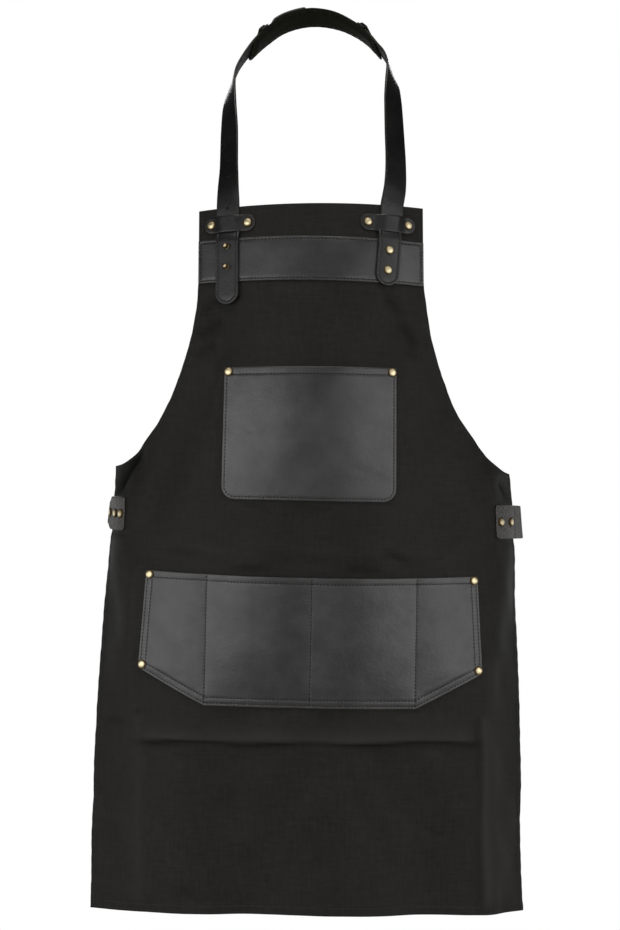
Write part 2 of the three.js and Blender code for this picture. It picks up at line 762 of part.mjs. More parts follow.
for (const [side, place] of Object.entries(keeperPlaces)) {
  for (const [end, sign] of [["left", -1], ["right", 1]]) {
    const { s, level } = keeperSpot(place, sign * (place.half - keeper.rivetInset), 0);
    const name = `keeper_${side}_rivet_${end}`;
    addFastener(name, rivetGeometry, s, level, sewnFace, clothBack, [`keeper_${side}`, "canvas_body"]);
  }
}
leftStrap.studs.forEach((level, i) => {
  const through = ["strap_left", "chest_band", "canvas_body"];
  const s = strapCentre(leftStrap, level);
  addFastener(`strap_stud_${i + 1}`, studGeometry, s, level, strapFace, clothBack, through);
});
rightStrap.rivets.forEach((level, i) => {
  const through = ["strap_right", "chest_band", "canvas_body"];
  const s = strapCentre(rightStrap, level);
  addFastener(`strap_rivet_${i + 1}`, rivetGeometry, s, level, strapFace, clothBack, through);
});
for (const [side, sign] of [["left", -1], ["right", 1]]) {
  const chestLevel = chestPocket.top - rivetInset;
  const chestS = pocketCentre(chestPocket, chestLevel) + sign * (chestPocket.topHalf - rivetInset);
  const chestThrough = ["chest_pocket", "canvas_body"];
  addFastener(`chest_rivet_${side}`, rivetGeometry, chestS, chestLevel, pocketFace, clothBack, chestThrough);
  const places = { top: lowerPocket.top - rivetInset, bottom: lowerPocket.sideCorner + 0.7 * rivetInset };
  for (const [row, level] of Object.entries(places)) {
    const s = pocketCentre(lowerPocket, level) + sign * (lowerPocketHalf(level) - rivetInset);
    const name = `pocket_rivet_${row}_${side}`;
    addFastener(name, rivetGeometry, s, level, pocketFace, clothBack, ["lower_pocket", "canvas_body"]);
  }
}
leftTab.rivets.forEach((distance, i) => {
  const onCloth = distance < leftTab.onCloth;
  const back = onCloth ? clothBack : -waistStrap.wall;
  const through = ["waist_tab_left", onCloth ? "canvas_body" : "waist_strap_left"];
  const name = `waist_rivet_left_${i + 1}`;
  addFastener(name, rivetGeometry, tabS(leftTab, distance), tab.level, sewnFace, back, through);
});
rightTab.rivets.forEach((distance, i) => {
  const through = ["waist_strap_right", "canvas_body"];
  const name = `waist_rivet_right_${i + 1}`;
  addFastener(name, rivetGeometry, tabS(rightTab, distance), tab.level, sewnFace, clothBack, through);
});

const adjustingBores = adjustingHoles.heights.map((height) => {
  const { point, out } = neckCourse.at(neckCourse.where((place) => place.z >= height));
  return { at: point, out, radius: adjustingHoles.radius, sides: adjustingHoles.sides };
});

// Assembly

const walls = [
  ["canvas_body", canvasGeometry(), "canvas"],
  ["chest_band", bandGeometry(), "leather"],
  ["chest_pocket", chestPocketGeometry(), "leather"],
  ["lower_pocket", lowerPocketGeometry(), "leather"],
  ["keeper_left", keeperGeometry(keeperPlaces.left), "leather"],
  ["keeper_right", keeperGeometry(keeperPlaces.right), "leather"],
  ["strap_left", leftStrapGeometry(), "leather", adjustingBores],
  ["strap_right", rightStrapGeometry(), "leather"],
  ["neck_pad", padGeometry(), "suede"],
  ["pad_keeper_left", padKeeperGeometry(padKeeper.leftX), "leather"],
  ["pad_keeper_right", padKeeperGeometry(padKeeper.rightX), "leather"],
  ["waist_tab_left", tabbedGeometry(leftTab, tabCourse, tabLengths(leftTab)), "leather"],
  ["waist_strap_left", leftWaistStrapGeometry(), "leather"],
  ["waist_strap_right", rightWaistStrapGeometry(), "leather"],
  ["waist_clasp", claspGeometry(), "blackMetal"],
];

const apron = new THREE.Group();
const addPiece = (name, geometry, finish) => {
  const piece = new THREE.Mesh(geometry, new THREE.MeshStandardMaterial(finishes[finish]));
  piece.name = name;
  apron.add(piece);
};

for (const [name, geometry, finish, bores = []] of walls) {
  const shanks = fasteners
    .filter((fastener) => fastener.through.includes(name))
    .map(({ frame }) => ({ ...frame, radius: rivet.shank + shankClearance, sides: shankHoleSides }));
  const holes = [...shanks, ...bores];
  addPiece(name, holes.length ? drilled(geometry, holes) : geometry, finish);
}
for (const { name, geometry } of fasteners) addPiece(name, geometry, "brass");

export default apron;
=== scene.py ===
# Canvas work apron with leather trims, in its worn form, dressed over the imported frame.
# Sizes are in millimetres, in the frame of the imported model; meshes are written in metres.
import math

import bmesh
import bpy
import numpy as np
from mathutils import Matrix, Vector


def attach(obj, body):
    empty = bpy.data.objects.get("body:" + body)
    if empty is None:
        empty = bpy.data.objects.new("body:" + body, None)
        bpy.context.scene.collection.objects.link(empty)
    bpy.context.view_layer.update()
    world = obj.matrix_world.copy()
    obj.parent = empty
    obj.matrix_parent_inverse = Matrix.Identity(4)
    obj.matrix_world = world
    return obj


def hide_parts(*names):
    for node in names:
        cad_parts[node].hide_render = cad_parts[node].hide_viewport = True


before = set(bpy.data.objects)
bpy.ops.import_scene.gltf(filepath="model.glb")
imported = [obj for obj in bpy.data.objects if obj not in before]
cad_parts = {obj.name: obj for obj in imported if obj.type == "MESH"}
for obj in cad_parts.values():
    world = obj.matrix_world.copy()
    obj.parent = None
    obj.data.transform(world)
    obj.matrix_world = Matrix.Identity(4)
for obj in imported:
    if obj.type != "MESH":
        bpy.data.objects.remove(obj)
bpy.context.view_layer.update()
scene = bpy.context.scene
mm = 0.001
print("apron: frame loaded with", len(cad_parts), "nodes")

# Camera, level with the middle of the apron
photo = {"height": 930, "focalPixels": 2500, "sensorWidth": 36}
cameraSpot = {"x": -1.2, "y": -3190, "z": -567.5}


def addCamera():
    data = bpy.data.cameras.new("photoCamera")
    data.sensor_width = photo["sensorWidth"]
    data.lens = data.sensor_width * photo["focalPixels"] / photo["height"]
    camera = bpy.data.objects.new("photoCamera", data)
    camera.location = Vector((cameraSpot["x"], cameraSpot["y"], cameraSpot["z"])) * mm
    camera.rotation_euler = (math.radians(90), 0, 0)
    scene.collection.objects.link(camera)
    scene.camera = camera


addCamera()


# Small helpers

def ramp(x, start, end):  # 0 at start, 1 at end, eased at both
    t = np.clip((x - start) / (end - start), 0, 1)
    return t * t * (3 - 2 * t)


def unit(vectors):
    return vectors / np.linalg.norm(vectors, axis=-1, keepdims=True)


def toLines(points, lines, closed):  # distance from flat points to a polyline
    lines = np.asarray(lines, float)
    ends = np.roll(lines, -1, axis=0) if closed else lines[1:]
    starts = lines if closed else lines[:-1]
    nearest = np.full(len(points), np.inf)
    for start, end in zip(starts, ends):
        run = end - start
        t = np.clip((points - start) @ run / max(run @ run, 1e-9), 0, 1)
        gap = np.linalg.norm(points - start - t[:, None] * run, axis=1)
        nearest = np.minimum(nearest, gap)
    return nearest


def arc(centreX, centreY, radius, fromAngle, toAngle, count):
    angles = np.radians(np.linspace(fromAngle, toAngle, count))
    return [(centreX + radius * math.cos(a), centreY + radius * math.sin(a)) for a in angles]


def hexColour(code):  # sRGB hex to linear
    channels = [int(code[i:i + 2], 16) / 255 for i in (1, 3, 5)]
    linear = [c / 12.92 if c <= 0.04045 else ((c + 0.055) / 1.055) ** 2.4 for c in channels]
    return (*linear, 1)


def perMetre(size):  # scale of a pattern, from the size of its marks
    return 1 / (size * mm)


def joinNode(tree, node, links):  # a link from a node comes from its first output in use
    for key, source in links.items():
        if isinstance(source, bpy.types.Node):
            source = next(output for output in source.outputs if output.enabled)
        tree.links.new(source, node.inputs[key])


def addNode(tree, kind, settings=None, links=None):
    node = tree.nodes.new("ShaderNode" + kind)
    for key, value in (settings or {}).items():
        if isinstance(key, str) and hasattr(node, key):
            setattr(node, key, value)
        else:
            node.inputs[key].default_value = value
    joinNode(tree, node, links or {})
    return node


def startMaterial(name, finish):
    material = bpy.data.materials.new(name)
    material.use_nodes = True
    tree = material.node_tree
    shader = tree.nodes["Principled BSDF"]
    for socket, value in finish.items():
        shader.inputs[socket].default_value = value
    return material, tree, shader, addNode(tree, "TexCoord")


# Materials

# Cotton canvas, piece-dyed black: plain woven yarn, so matt, with a faint thread grid and uneven dye. Along
# its crease lines the colour carries painted shade where the folds would lie in shadow. Its crests are paler,
# partly from wear and partly as a painted highlight.
canvasLook = {"dye": "#161514", "worn": "#22211f", "paleWearAndSheen": "#2d2b28", "deep": "#040404", "yarn": 1.5,
              "cloud": 70, "fleck": 7, "slub": (34, 2.6), "roughness": 0.5, "gloss": 0.12}


def cottonCanvas():
    look = canvasLook
    finish = {"IOR": 1.47, "Specular IOR Level": look["gloss"]}
    material, tree, shader, place = startMaterial("cottonCanvasWoven", finish)
    cut = {"Vector": place.outputs["UV"]}
    bandTurn = 2 * math.pi / 20  # a wave texture of scale 1 repeats over this length
    waveScale = bandTurn * perMetre(look["yarn"])  # real yarn is 0.8 mm; drawn coarser so that it shows
    yarn = {"wave_type": "BANDS", "wave_profile": "SIN", "Scale": waveScale, "Distortion": 1.2, "Detail": 2}
    warp, weft = (addNode(tree, "TexWave", {**yarn, "bands_direction": axis}, cut) for axis in "XY")
    weave = addNode(tree, "Math", {"operation": "MAXIMUM"}, {0: warp.outputs["Fac"], 1: weft.outputs["Fac"]})
    bump = addNode(tree, "Bump", {"Strength": 0.22, "Distance": 0.3 * mm}, {"Height": weave})
    cloud = addNode(tree, "TexNoise", {"Scale": perMetre(look["cloud"]), "Detail": 4}, cut)
    fleck = addNode(tree, "TexNoise", {"Scale": perMetre(look["fleck"]), "Detail": 5}, cut)
    slubs = []  # thick places along the weft, then along the warp
    for across, down in (look["slub"], look["slub"][::-1]):
        stretch = addNode(tree, "Mapping", {"Scale": (perMetre(across), perMetre(down), 1)}, cut)
        slubs.append(addNode(tree, "TexNoise", {"Scale": 1, "Detail": 2}, {"Vector": stretch}))
    slub = addNode(tree, "Math", {"operation": "ADD"}, {0: slubs[0], 1: slubs[1]})
    streaky = addNode(tree, "Math", {"operation": "MULTIPLY_ADD", 1: 0.7}, {0: cloud, 2: slub})
    patchy = addNode(tree, "Math", {"operation": "ADD"}, {0: fleck, 1: streaky})
    spread = addNode(tree, "MapRange", {"From Min": 0.5, "From Max": 3.2}, {"Value": patchy})
    dyed = addNode(tree, "ValToRGB", {}, {"Fac": spread})
    for stop, position, tone in zip(dyed.color_ramp.elements, (0.3, 0.7), (look["dye"], look["worn"])):
        stop.position = position
        stop.color = hexColour(tone)
    marks = [addNode(tree, "Attribute", {"attribute_name": name}) for name in ("rub", "deep")]
    rub, deep = (mark.outputs["Fac"] for mark in marks)
    # paler where rubbed: wear on the crests, which also paints a highlight on them
    paler = addNode(tree, "Mix", {"data_type": "RGBA", "B": hexColour(look["paleWearAndSheen"])},
                    {"Factor": rub, "A": dyed})
    # painted shade: crease lines are darkened towards black and made fully matt, standing in for the shadow
    # inside the folds
    colour = addNode(tree, "Mix", {"data_type": "RGBA", "B": hexColour(look["deep"])},
                     {"Factor": deep, "A": paler})
    rough = addNode(tree, "Mix", {"data_type": "FLOAT", "A": look["roughness"], "B": 1}, {"Factor": deep})
    joinNode(tree, shader, {"Base Color": colour, "Normal": bump, "Roughness": rough})
    return material


# Vegetable-tanned cowhide, dyed through and waxed: a satin face with fine pores, and edges that rub paler.
pocketHide = {"name": "cowhideWaxed", "face": "#0a0a0a", "cloudy": "#101010", "edge": "#3a3632",
              "flesh": "#2b2018", "pore": 2.4, "cloud": 38, "mottle": 6, "roll": 45, "slack": 0.8,
              "smooth": 0.35, "rough": 0.53, "gloss": 0.5, "wax": 0.6}
# The same cowhide, oiled for bending: blacker on the straps, with an even shine and brown where it is rubbed.
strapHide = {**pocketHide, "name": "cowhideOiled", "face": "#030303", "cloudy": "#060605", "edge": "#3a3026",
             "flesh": "#080604", "smooth": 0.33, "rough": 0.46, "gloss": 0.54, "wax": 0}
# And on the waist tabs, rubbed dry by handling: no wax left, and a pale speckle over the black. The speckle
# is also a painted sheen of the bright backdrop.
tabHide = {**pocketHide, "name": "cowhideRubbedAndSheened", "edge": "#575552", "mottle": 2.6, "smooth": 0.4,
           "rough": 0.64, "gloss": 0.38, "wax": 0}


def tannedCowhide(look):
    finish = {"IOR": 1.5, "Specular IOR Level": look["gloss"], "Coat Roughness": look["smooth"]}
    material, tree, shader, place = startMaterial(look["name"], finish)
    cut = {"Vector": place.outputs["UV"]}
    pores = addNode(tree, "TexVoronoi",
                    {"feature": "SMOOTH_F1", "Scale": perMetre(look["pore"]), "Randomness": 1}, cut)
    cloud = addNode(tree, "TexNoise", {"Scale": perMetre(look["cloud"]), "Detail": 5, "Roughness": 0.6}, cut)
    mottle = addNode(tree, "TexNoise", {"Scale": perMetre(look["mottle"]), "Detail": 6}, cut)
    roll = addNode(tree, "TexNoise", {"Scale": perMetre(look["roll"]), "Detail": 2}, cut)
    marks = [addNode(tree, "Attribute", {"attribute_name": name}) for name in ("rub", "raw")]
    rub, raw = (mark.outputs["Fac"] for mark in marks)
    tones = {"A": hexColour(look["face"]), "B": hexColour(look["cloudy"])}
    dyed = addNode(tree, "Mix", {"data_type": "RGBA", **tones}, {"Factor": cloud})
    uneven = addNode(tree, "MapRange", {"From Min": 0.35, "From Max": 0.65, "To Min": 0.1, "To Max": 1.5},
                     {"Value": mottle})
    # paler where rubbed: wear at the cut edges, brown cracks at the strap twists, and on the waist tabs a
    # painted sheen of the bright backdrop
    paleWearAndSheen = addNode(tree, "Math", {"operation": "MULTIPLY", "use_clamp": True}, {0: rub, 1: uneven})
    paler = addNode(tree, "Mix", {"data_type": "RGBA", "B": hexColour(look["edge"])},
                    {"Factor": paleWearAndSheen, "A": dyed})
    colour = addNode(tree, "Mix", {"data_type": "RGBA", "B": hexColour(look["flesh"])},
                     {"Factor": raw, "A": paler})
    sheen = addNode(tree, "Math", {"operation": "MULTIPLY_ADD", 1: 0.5}, {0: mottle, 2: cloud})
    polish = {"To Min": look["smooth"], "To Max": look["rough"]}
    rough = addNode(tree, "MapRange", {"From Min": 0.45, "From Max": 1.05, **polish}, {"Value": sheen})
    napped = addNode(tree, "Mix", {"data_type": "FLOAT", "B": 1}, {"Factor": raw, "A": rough})
    skin = addNode(tree, "Math", {"operation": "MULTIPLY_ADD", 1: 0.6}, {0: mottle, 2: pores})
    slack = addNode(tree, "Bump", {"Strength": 1, "Distance": look["slack"] * mm}, {"Height": roll})
    bump = addNode(tree, "Bump", {"Strength": 0.35, "Distance": 0.3 * mm},  # pores drawn twice their size
                   {"Height": skin, "Normal": slack})
    joinNode(tree, shader, {"Base Color": colour, "Roughness": napped, "Normal": bump, "Coat Normal": bump})
    if look["wax"]:
        coat = {"To Min": 0.5 * look["wax"], "To Max": 1.4 * look["wax"]}
        wax = addNode(tree, "MapRange", {"From Min": 0.3, "From Max": 0.7, **coat}, {"Value": cloud})
        joinNode(tree, shader, {"Coat Weight": wax})
    return material


# Brass, pressed and antiqued: bright where the cap is rubbed, brown patina in the low ring round it. The
# slopes of the rivet domes and the sides of the stud balls are also painted darker as shade, so that only
# their fronts shine.
brassLook = {"bright": "#eddfb6", "aged": "#4d3a20", "spot": 2.2, "roughness": 0.34, "agedRoughness": 0.59}


def antiqueBrass():
    look = brassLook
    material, tree, shader, place = startMaterial("brassAntiqued", {"Metallic": 1})
    spot = addNode(tree, "TexNoise", {"Scale": perMetre(look["spot"]), "Detail": 4},
                   {"Vector": place.outputs["Object"]})
    # low carries patina in the hollows and painted shade on the dome slopes and ball sides
    low = addNode(tree, "Attribute", {"attribute_name": "low"}).outputs["Fac"]
    aged = addNode(tree, "Math", {"operation": "MULTIPLY_ADD", 1: 0.3, "use_clamp": True}, {0: spot, 2: low})
    tones = {"A": hexColour(look["bright"]), "B": hexColour(look["aged"])}
    colour = addNode(tree, "Mix", {"data_type": "RGBA", **tones}, {"Factor": aged})
    rough = addNode(tree, "MapRange", {"To Min": look["roughness"], "To Max": look["agedRoughness"]},
                    {"Value": aged})
    joinNode(tree, shader, {"Base Color": colour, "Roughness": rough})
    return material


# Split suede, sanded: a short nap that swallows light, with paler brushed patches.
suedeLook = {"name": "suedeSanded", "dark": "#070904", "pale": "#191d0c", "space": "UV",
             "patch": 9, "patchDetail": 6, "grain": 0.9, "grainDetail": 3, "bump": 0.5, "relief": 0.4,
             "finish": {"Roughness": 0.97, "IOR": 1.45, "Specular IOR Level": 0.2}}
# Polyester thread, bonded and waxed: dark, with a slight shine along each stitch and a twist across it.
threadLook = {"name": "threadBonded", "dark": "#030303", "pale": "#080808", "space": "Object",
              "patch": 0.8, "patchDetail": 2, "grain": 0.8, "grainDetail": 2, "bump": 0.4, "relief": 0.15,
              "finish": {"Roughness": 0.75}}
# Acetal, injection moulded: black and slightly satin, with a fine spark-eroded texture.
acetalLook = {"name": "acetalMoulded", "dark": "#141414", "pale": "#1e1e1e", "space": "Object",
              "patch": 0.7, "patchDetail": 2, "grain": 0.7, "grainDetail": 2, "bump": 0.2, "relief": 0.1,
              "finish": {"Roughness": 0.45, "IOR": 1.48}}


def patchyMaterial(look):  # two tones in patches, over a fine grain
    material, tree, shader, place = startMaterial(look["name"], look["finish"])
    spot = {"Vector": place.outputs[look["space"]]}
    patch, grain = (
        addNode(tree, "TexNoise", {"Scale": perMetre(look[mark]), "Detail": look[mark + "Detail"]}, spot)
        for mark in ("patch", "grain")
    )
    tones = {"A": hexColour(look["dark"]), "B": hexColour(look["pale"])}
    colour = addNode(tree, "Mix", {"data_type": "RGBA", **tones}, {"Factor": patch})
    bump = addNode(tree, "Bump", {"Strength": look["bump"], "Distance": look["relief"] * mm},
                   {"Height": grain})
    joinNode(tree, shader, {"Base Color": colour, "Normal": bump})
    return material


canvasMaterial = cottonCanvas()
pocketMaterial, strapMaterial, tabMaterial = map(tannedCowhide, (pocketHide, strapHide, tabHide))
brassMaterial = antiqueBrass()
suedeMaterial, threadMaterial, claspMaterial = map(patchyMaterial, (suedeLook, threadLook, acetalLook))
print("apron: materials made")


# Worn shape of the canvas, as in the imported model: s runs across the cloth, level down it

sections = {
    "z": (-250.5, -377.5, -497.5, -607.5, -697.5, -817.5, -1109.5),
    "front": (-165, -180, -190, -193, -192, -190, -184),
    "bow": (290, 300, 340, 400, 450, 500, 680),
    "foldStart": (190, 195, 204, 215, 213, 212, 212),
    "foldEnd": (260, 262, 270, 285, 264, 242, 232),
    "leftTurn": (50, 55, 64, 78, 63, 42, 33),
    "rightTurn": (48, 52, 57, 67, 60, 52, 46),
    "lean": (-0.012, 0, 0.009, 0.02, 0.02, 0.019, 0.01),
}
skirtFolds = [
    {"s": -165, "width": 38, "depth": 7},
    {"s": -75, "width": 40, "depth": -5},
    {"s": 40, "width": 48, "depth": 5},
    {"s": 140, "width": 36, "depth": -6},
]
cloth = {"wall": 1.2, "bibTop": -250.5, "bibStraightEnd": -321.5, "waistCorner": -573.5, "hem": -1109.5,
         "bibHalf": 142.5, "skirtHalf": 285, "bibDroop": 5, "hemDroop": 5, "armholeRise": 2,
         "armholeRound": 1.92, "foldTop": -758, "hemFold": 11, "sideFold": 7, "foldWall": 0.5,
         "foldShow": 0.2, "foldEase": 0.8}


def sectionAt(column, level):  # smooth between the levels of the table
    z, value = np.array(sections["z"], float), np.array(sections[column], float)
    last = len(z) - 1
    above = np.maximum(np.arange(last + 1) - 1, 0)
    below = np.minimum(np.arange(last + 1) + 1, last)
    slope = (value[below] - value[above]) / (z[below] - z[above])
    level = np.clip(level, z[-1], z[0])
    i = np.clip(np.searchsorted(-z, -level, side="right") - 1, 0, last - 1)
    span = z[i + 1] - z[i]
    t = (level - z[i]) / span
    ease = t * t * (3 - 2 * t)
    start = value[i] * (1 - ease) + slope[i] * span * t * (1 - t) ** 2
    return start + value[i + 1] * ease - slope[i + 1] * span * t * t * (1 - t)


def clothBase(s, level):
    s, level = np.broadcast_arrays(np.asarray(s, float), np.asarray(level, float))
    side = np.where(s < 0, -1.0, 1.0)
    reach = np.abs(s)
    bow = sectionAt("bow", level)
    foldStart = sectionAt("foldStart", level)
    foldLength = sectionAt("foldEnd", level) - foldStart
    turn = np.radians(np.where(side < 0, sectionAt("leftTurn", level), sectionAt("rightTurn", level)))
    heading = np.minimum(reach, foldStart) / bow
    curve = (turn - foldStart / bow) / foldLength
    turned = heading + curve * np.clip(reach - foldStart, 0, foldLength)
    panel = np.maximum(reach - foldStart - foldLength, 0)
    x = bow * np.sin(heading) + (np.sin(turned) - np.sin(heading)) / curve + panel * np.cos(turned)
    back = bow * (1 - np.cos(heading)) + (np.cos(heading) - np.cos(turned)) / curve + panel * np.sin(turned)
    swell = sum(fold["depth"] * np.exp(-((s - fold["s"]) / fold["width"]) ** 2) for fold in skirtFolds)
    hang = ramp(level, cloth["foldTop"], cloth["hem"])
    depth = swell * hang
    bibHang = ramp(level, cloth["waistCorner"], cloth["bibTop"])
    bibSag = cloth["bibDroop"] * (s / cloth["bibHalf"]) ** 2 * bibHang
    hemSag = cloth["hemDroop"] * (s / cloth["skirtHalf"]) ** 2 * hang
    return np.stack([
        side * (x + depth * np.sin(turned)),
        sectionAt("front", level) + back - depth * np.cos(turned),
        level - sectionAt("lean", level) * s - bibSag - hemSag,
    ], axis=-1)


def clothFrame(s, level):
    across = clothBase(s + 1, level) - clothBase(s - 1, level)
    rise = clothBase(s, level + 1) - clothBase(s, level - 1)
    return clothBase(s, level), unit(np.cross(across, rise))


def clothPoint(s, level, offset):
    base, out = clothFrame(s, level)
    return base + out * np.asarray(offset, float)[..., None]


def cutHalf(level):
    t = np.clip((cloth["bibStraightEnd"] - level) / (cloth["bibStraightEnd"] - cloth["waistCorner"]), 0, 1)
    curve = 1 - (1 - t ** cloth["armholeRise"]) ** (1 / cloth["armholeRound"])
    return cloth["bibHalf"] + (cloth["skirtHalf"] - cloth["bibHalf"]) * curve


# Meshes

def addPiece(name, points, faces, material, slotName, attributes=None, uv=None, sharp=38):
    mesh = bpy.data.meshes.new(name)
    mesh.from_pydata((np.asarray(points) * mm).tolist(), [], faces)
    mesh.shade_smooth()
    mesh.set_sharp_from_angle(angle=math.radians(sharp))
    for key, values in (attributes or {}).items():
        layer = mesh.attributes.new(key, "FLOAT", "POINT")
        layer.data.foreach_set("value", np.asarray(values, np.float32))
    if uv is not None:
        corner = np.zeros(len(mesh.loops), np.int32)
        mesh.loops.foreach_get("vertex_index", corner)
        layer = mesh.uv_layers.new(name="flatCut")
        layer.data.foreach_set("uv", (np.asarray(uv)[corner] * mm).astype(np.float32).ravel())
    mesh.materials.append(material)
    piece = bpy.data.objects.new(name, mesh)
    scene.collection.objects.link(piece)
    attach(piece, "root")
    return piece


def replaceNode(node, points, faces, material, slotName, **more):  # named after the node it stands for
    words = node.split("_")
    name = words[0] + "".join(word.capitalize() for word in words[1:])
    piece = addPiece(name, points, faces, material, slotName, **more)
    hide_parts(node)
    return piece


def gridFaces(wide, tall, first=0, flip=False):
    faces = []
    for r in range(tall - 1):
        for c in range(wide - 1):
            a = first + r * wide + c
            quad = (a, a + wide, a + wide + 1, a + 1)
            faces.append(quad[::-1] if flip else quad)
    return faces


def gridRim(wide, tall):
    loop = [r * wide for r in range(tall - 1)]
    loop += [(tall - 1) * wide + c for c in range(wide - 1)]
    loop += [r * wide + wide - 1 for r in range(tall - 1, 0, -1)]
    loop += list(range(wide - 1, 0, -1))
    return loop


def ringFaces(rings, sides):  # a tube of rings, closed at both ends
    faces = []
    for r in range(rings - 1):
        for k in range(sides):
            a, b = r * sides + k, r * sides + (k + 1) % sides
            faces.append((a, b, b + sides, a + sides))
    faces.append(tuple(reversed(range(sides))))
    faces.append(tuple(range((rings - 1) * sides, rings * sides)))
    return faces


# Canvas

# Creases from packing and wear. depth is outward. A crease falls off over one width on its left, looking from
# its start to its end, and over the other on its right. rub is how pale its line is: wear on the crest, which
# also paints a highlight there. deep is how dark its line is painted, as painted shade in the fold.
creases = [
    {"from": (-222, -902), "to": (217, -897), "left": 16, "right": 8, "depth": 3.6, "rub": 0.8},
    {"from": (-222, -905), "to": (217, -900), "left": 1.5, "right": 6, "depth": -1, "deep": 0.75},
    {"from": (-286, -889), "to": (-222, -893), "left": 9, "right": 12, "depth": -3},
    {"from": (128, -905), "to": (170, -911), "left": 6, "right": 6, "depth": -2},
    {"from": (-222, -690), "to": (-221, -860), "left": 9, "right": 26, "depth": 1.8, "rub": 0.25},
    {"from": (-217, -850), "to": (-210, -1116), "left": 8, "right": 34, "depth": 3.2, "rub": 0.35},
    {"from": (219, -790), "to": (214, -1116), "left": 24, "right": 8, "depth": 3.6, "rub": 0.8},
    {"from": (212, -790), "to": (208, -1116), "left": 4, "right": 10, "depth": -1.5, "deep": 0.3},
    {"from": (-205, -670), "to": (205, -674), "left": 16, "right": 9, "depth": 1.2, "rub": 0.15},
    {"from": (88, -672), "to": (126, -690), "left": 6, "right": 8, "depth": -3},
    {"from": (150, -684), "to": (198, -654), "left": 8, "right": 8, "depth": -2.4},
    {"from": (-150, -668), "to": (-40, -676), "left": 10, "right": 9, "depth": -1.8},
    {"from": (248, -583), "to": (270, -604), "left": 4, "right": 4, "depth": -2, "deep": 0.5},
    {"from": (214, -530), "to": (238, -575), "left": 9, "right": 9, "depth": -2.4},
    {"from": (-152, -400), "to": (-118, -430), "left": 5, "right": 5, "depth": -2.2},
    {"from": (150, -400), "to": (124, -434), "left": 5, "right": 5, "depth": -2.2},
    {"from": (104, -368), "to": (142, -396), "left": 8, "right": 8, "depth": 2},
    {"from": (96, -372), "to": (112, -430), "left": 9, "right": 9, "depth": -2},
    {"from": (-112, -358), "to": (-146, -384), "left": 6, "right": 9, "depth": -2.6, "deep": 0.3},
    {"from": (-106, -384), "to": (-150, -420), "left": 7, "right": 12, "depth": -3.4, "deep": 0.4},
    {"from": (-120, -412), "to": (-150, -440), "left": 5, "right": 7, "depth": -2.6, "deep": 0.35},
    {"from": (90, -356), "to": (116, -386), "left": 8, "right": 8, "depth": -3, "deep": 0.4},
    {"from": (106, -388), "to": (140, -428), "left": 8, "right": 8, "depth": -3, "deep": 0.4},
    {"from": (-50, -254), "to": (-14, -270), "left": 6, "right": 6, "depth": -1.4},
    {"from": (28, -266), "to": (64, -281), "left": 6, "right": 6, "depth": -1.4},
    {"from": (-160, -1080), "to": (-132, -1102), "left": 7, "right": 7, "depth": -3},
    {"from": (-282, -960), "to": (-262, -1000), "left": 9, "right": 9, "depth": -2.4},
    {"from": (-216, -546), "to": (-280, -618), "left": 12, "right": 14, "depth": -8, "deep": 1},
]
# Slow waves of cloth that has been folded and hung
waves = [
    {"across": 170, "down": 520, "phase": 0.6, "depth": 1.6},
    {"across": -110, "down": 260, "phase": 2.1, "depth": 0.9},
    {"across": 67, "down": -150, "phase": 4.0, "depth": 0.45},
    {"across": 43, "down": 90, "phase": 1.3, "depth": 0.2},
]
# Small wrinkles where the cloth was crushed: how many, how long, wide and deep, and the steepest slant
crushed = {"count": 90, "seed": 11, "length": (22, 75), "width": (3.5, 8), "depth": (-1.1, 0.9), "slant": 50}
pucker = {"short": 3.4, "long": 11, "reach": 12, "depth": 0.35}
# Leather that holds the canvas flat: middle, half width and levels
heldFlat = [
    {"middle": 0, "half": 150, "top": -252, "bottom": -350},
    {"middle": 0, "half": 108, "top": -447, "bottom": -613},
    {"middle": 0, "half": 218, "top": -697, "bottom": -864},
    {"middle": -268, "half": 26, "top": -612, "bottom": -653},
    {"middle": 267, "half": 28, "top": -612, "bottom": -653},
]
heldFade = {"side": 12, "bottom": 12, "top": 10}
creaseLine = {"sway": 1.5, "swayShare": 0.02, "swayLength": 23, "crest": 2, "fadeShare": 0.35,
              "longestFade": 30, "past": 0.4}
canvasMesh = {"spacing": 3.5, "hemRows": (0, 0.8, 3.5, 7, 10, 12), "sideRows": (0, 0.8, 3, 6, 8), "rowGap": 2,
              "armholeRows": 70, "columns": 152}


def scatterWrinkles():
    draw = np.random.default_rng(crushed["seed"])
    wrinkles = []
    for _ in range(crushed["count"]):
        level = draw.uniform(cloth["hem"], cloth["bibTop"])
        s = draw.uniform(-1, 1) * cutHalf(level)
        slant = math.radians(draw.uniform(-1, 1) * crushed["slant"])
        length = draw.uniform(*crushed["length"])
        end = (s + length * math.cos(slant), level + length * math.sin(slant))
        left, right = draw.uniform(*crushed["width"], 2)
        wrinkles.append({"from": (s, level), "to": end, "left": left, "right": right,
                         "depth": draw.uniform(*crushed["depth"])})
    return wrinkles


def creaseShape(crease, s, level):
    start = np.array(crease["from"], float)
    run = np.array(crease["to"], float) - start
    length = np.linalg.norm(run)
    along = ((s - start[0]) * run[0] + (level - start[1]) * run[1]) / length
    aside = ((level - start[1]) * run[0] - (s - start[0]) * run[1]) / length
    sway = min(creaseLine["sway"], creaseLine["swayShare"] * length)
    aside = aside + sway * np.sin(along / creaseLine["swayLength"] + crease["left"])
    away = np.sqrt(aside ** 2 + creaseLine["crest"] ** 2) - creaseLine["crest"]
    away = away / np.where(aside > 0, crease["left"], crease["right"])
    fade = min(creaseLine["fadeShare"] * length, creaseLine["longestFade"])
    past = creaseLine["past"] * fade
    return np.exp(-away) * ramp(along, -past, fade) * ramp(along, length + past, length - fade)


creases += scatterWrinkles()


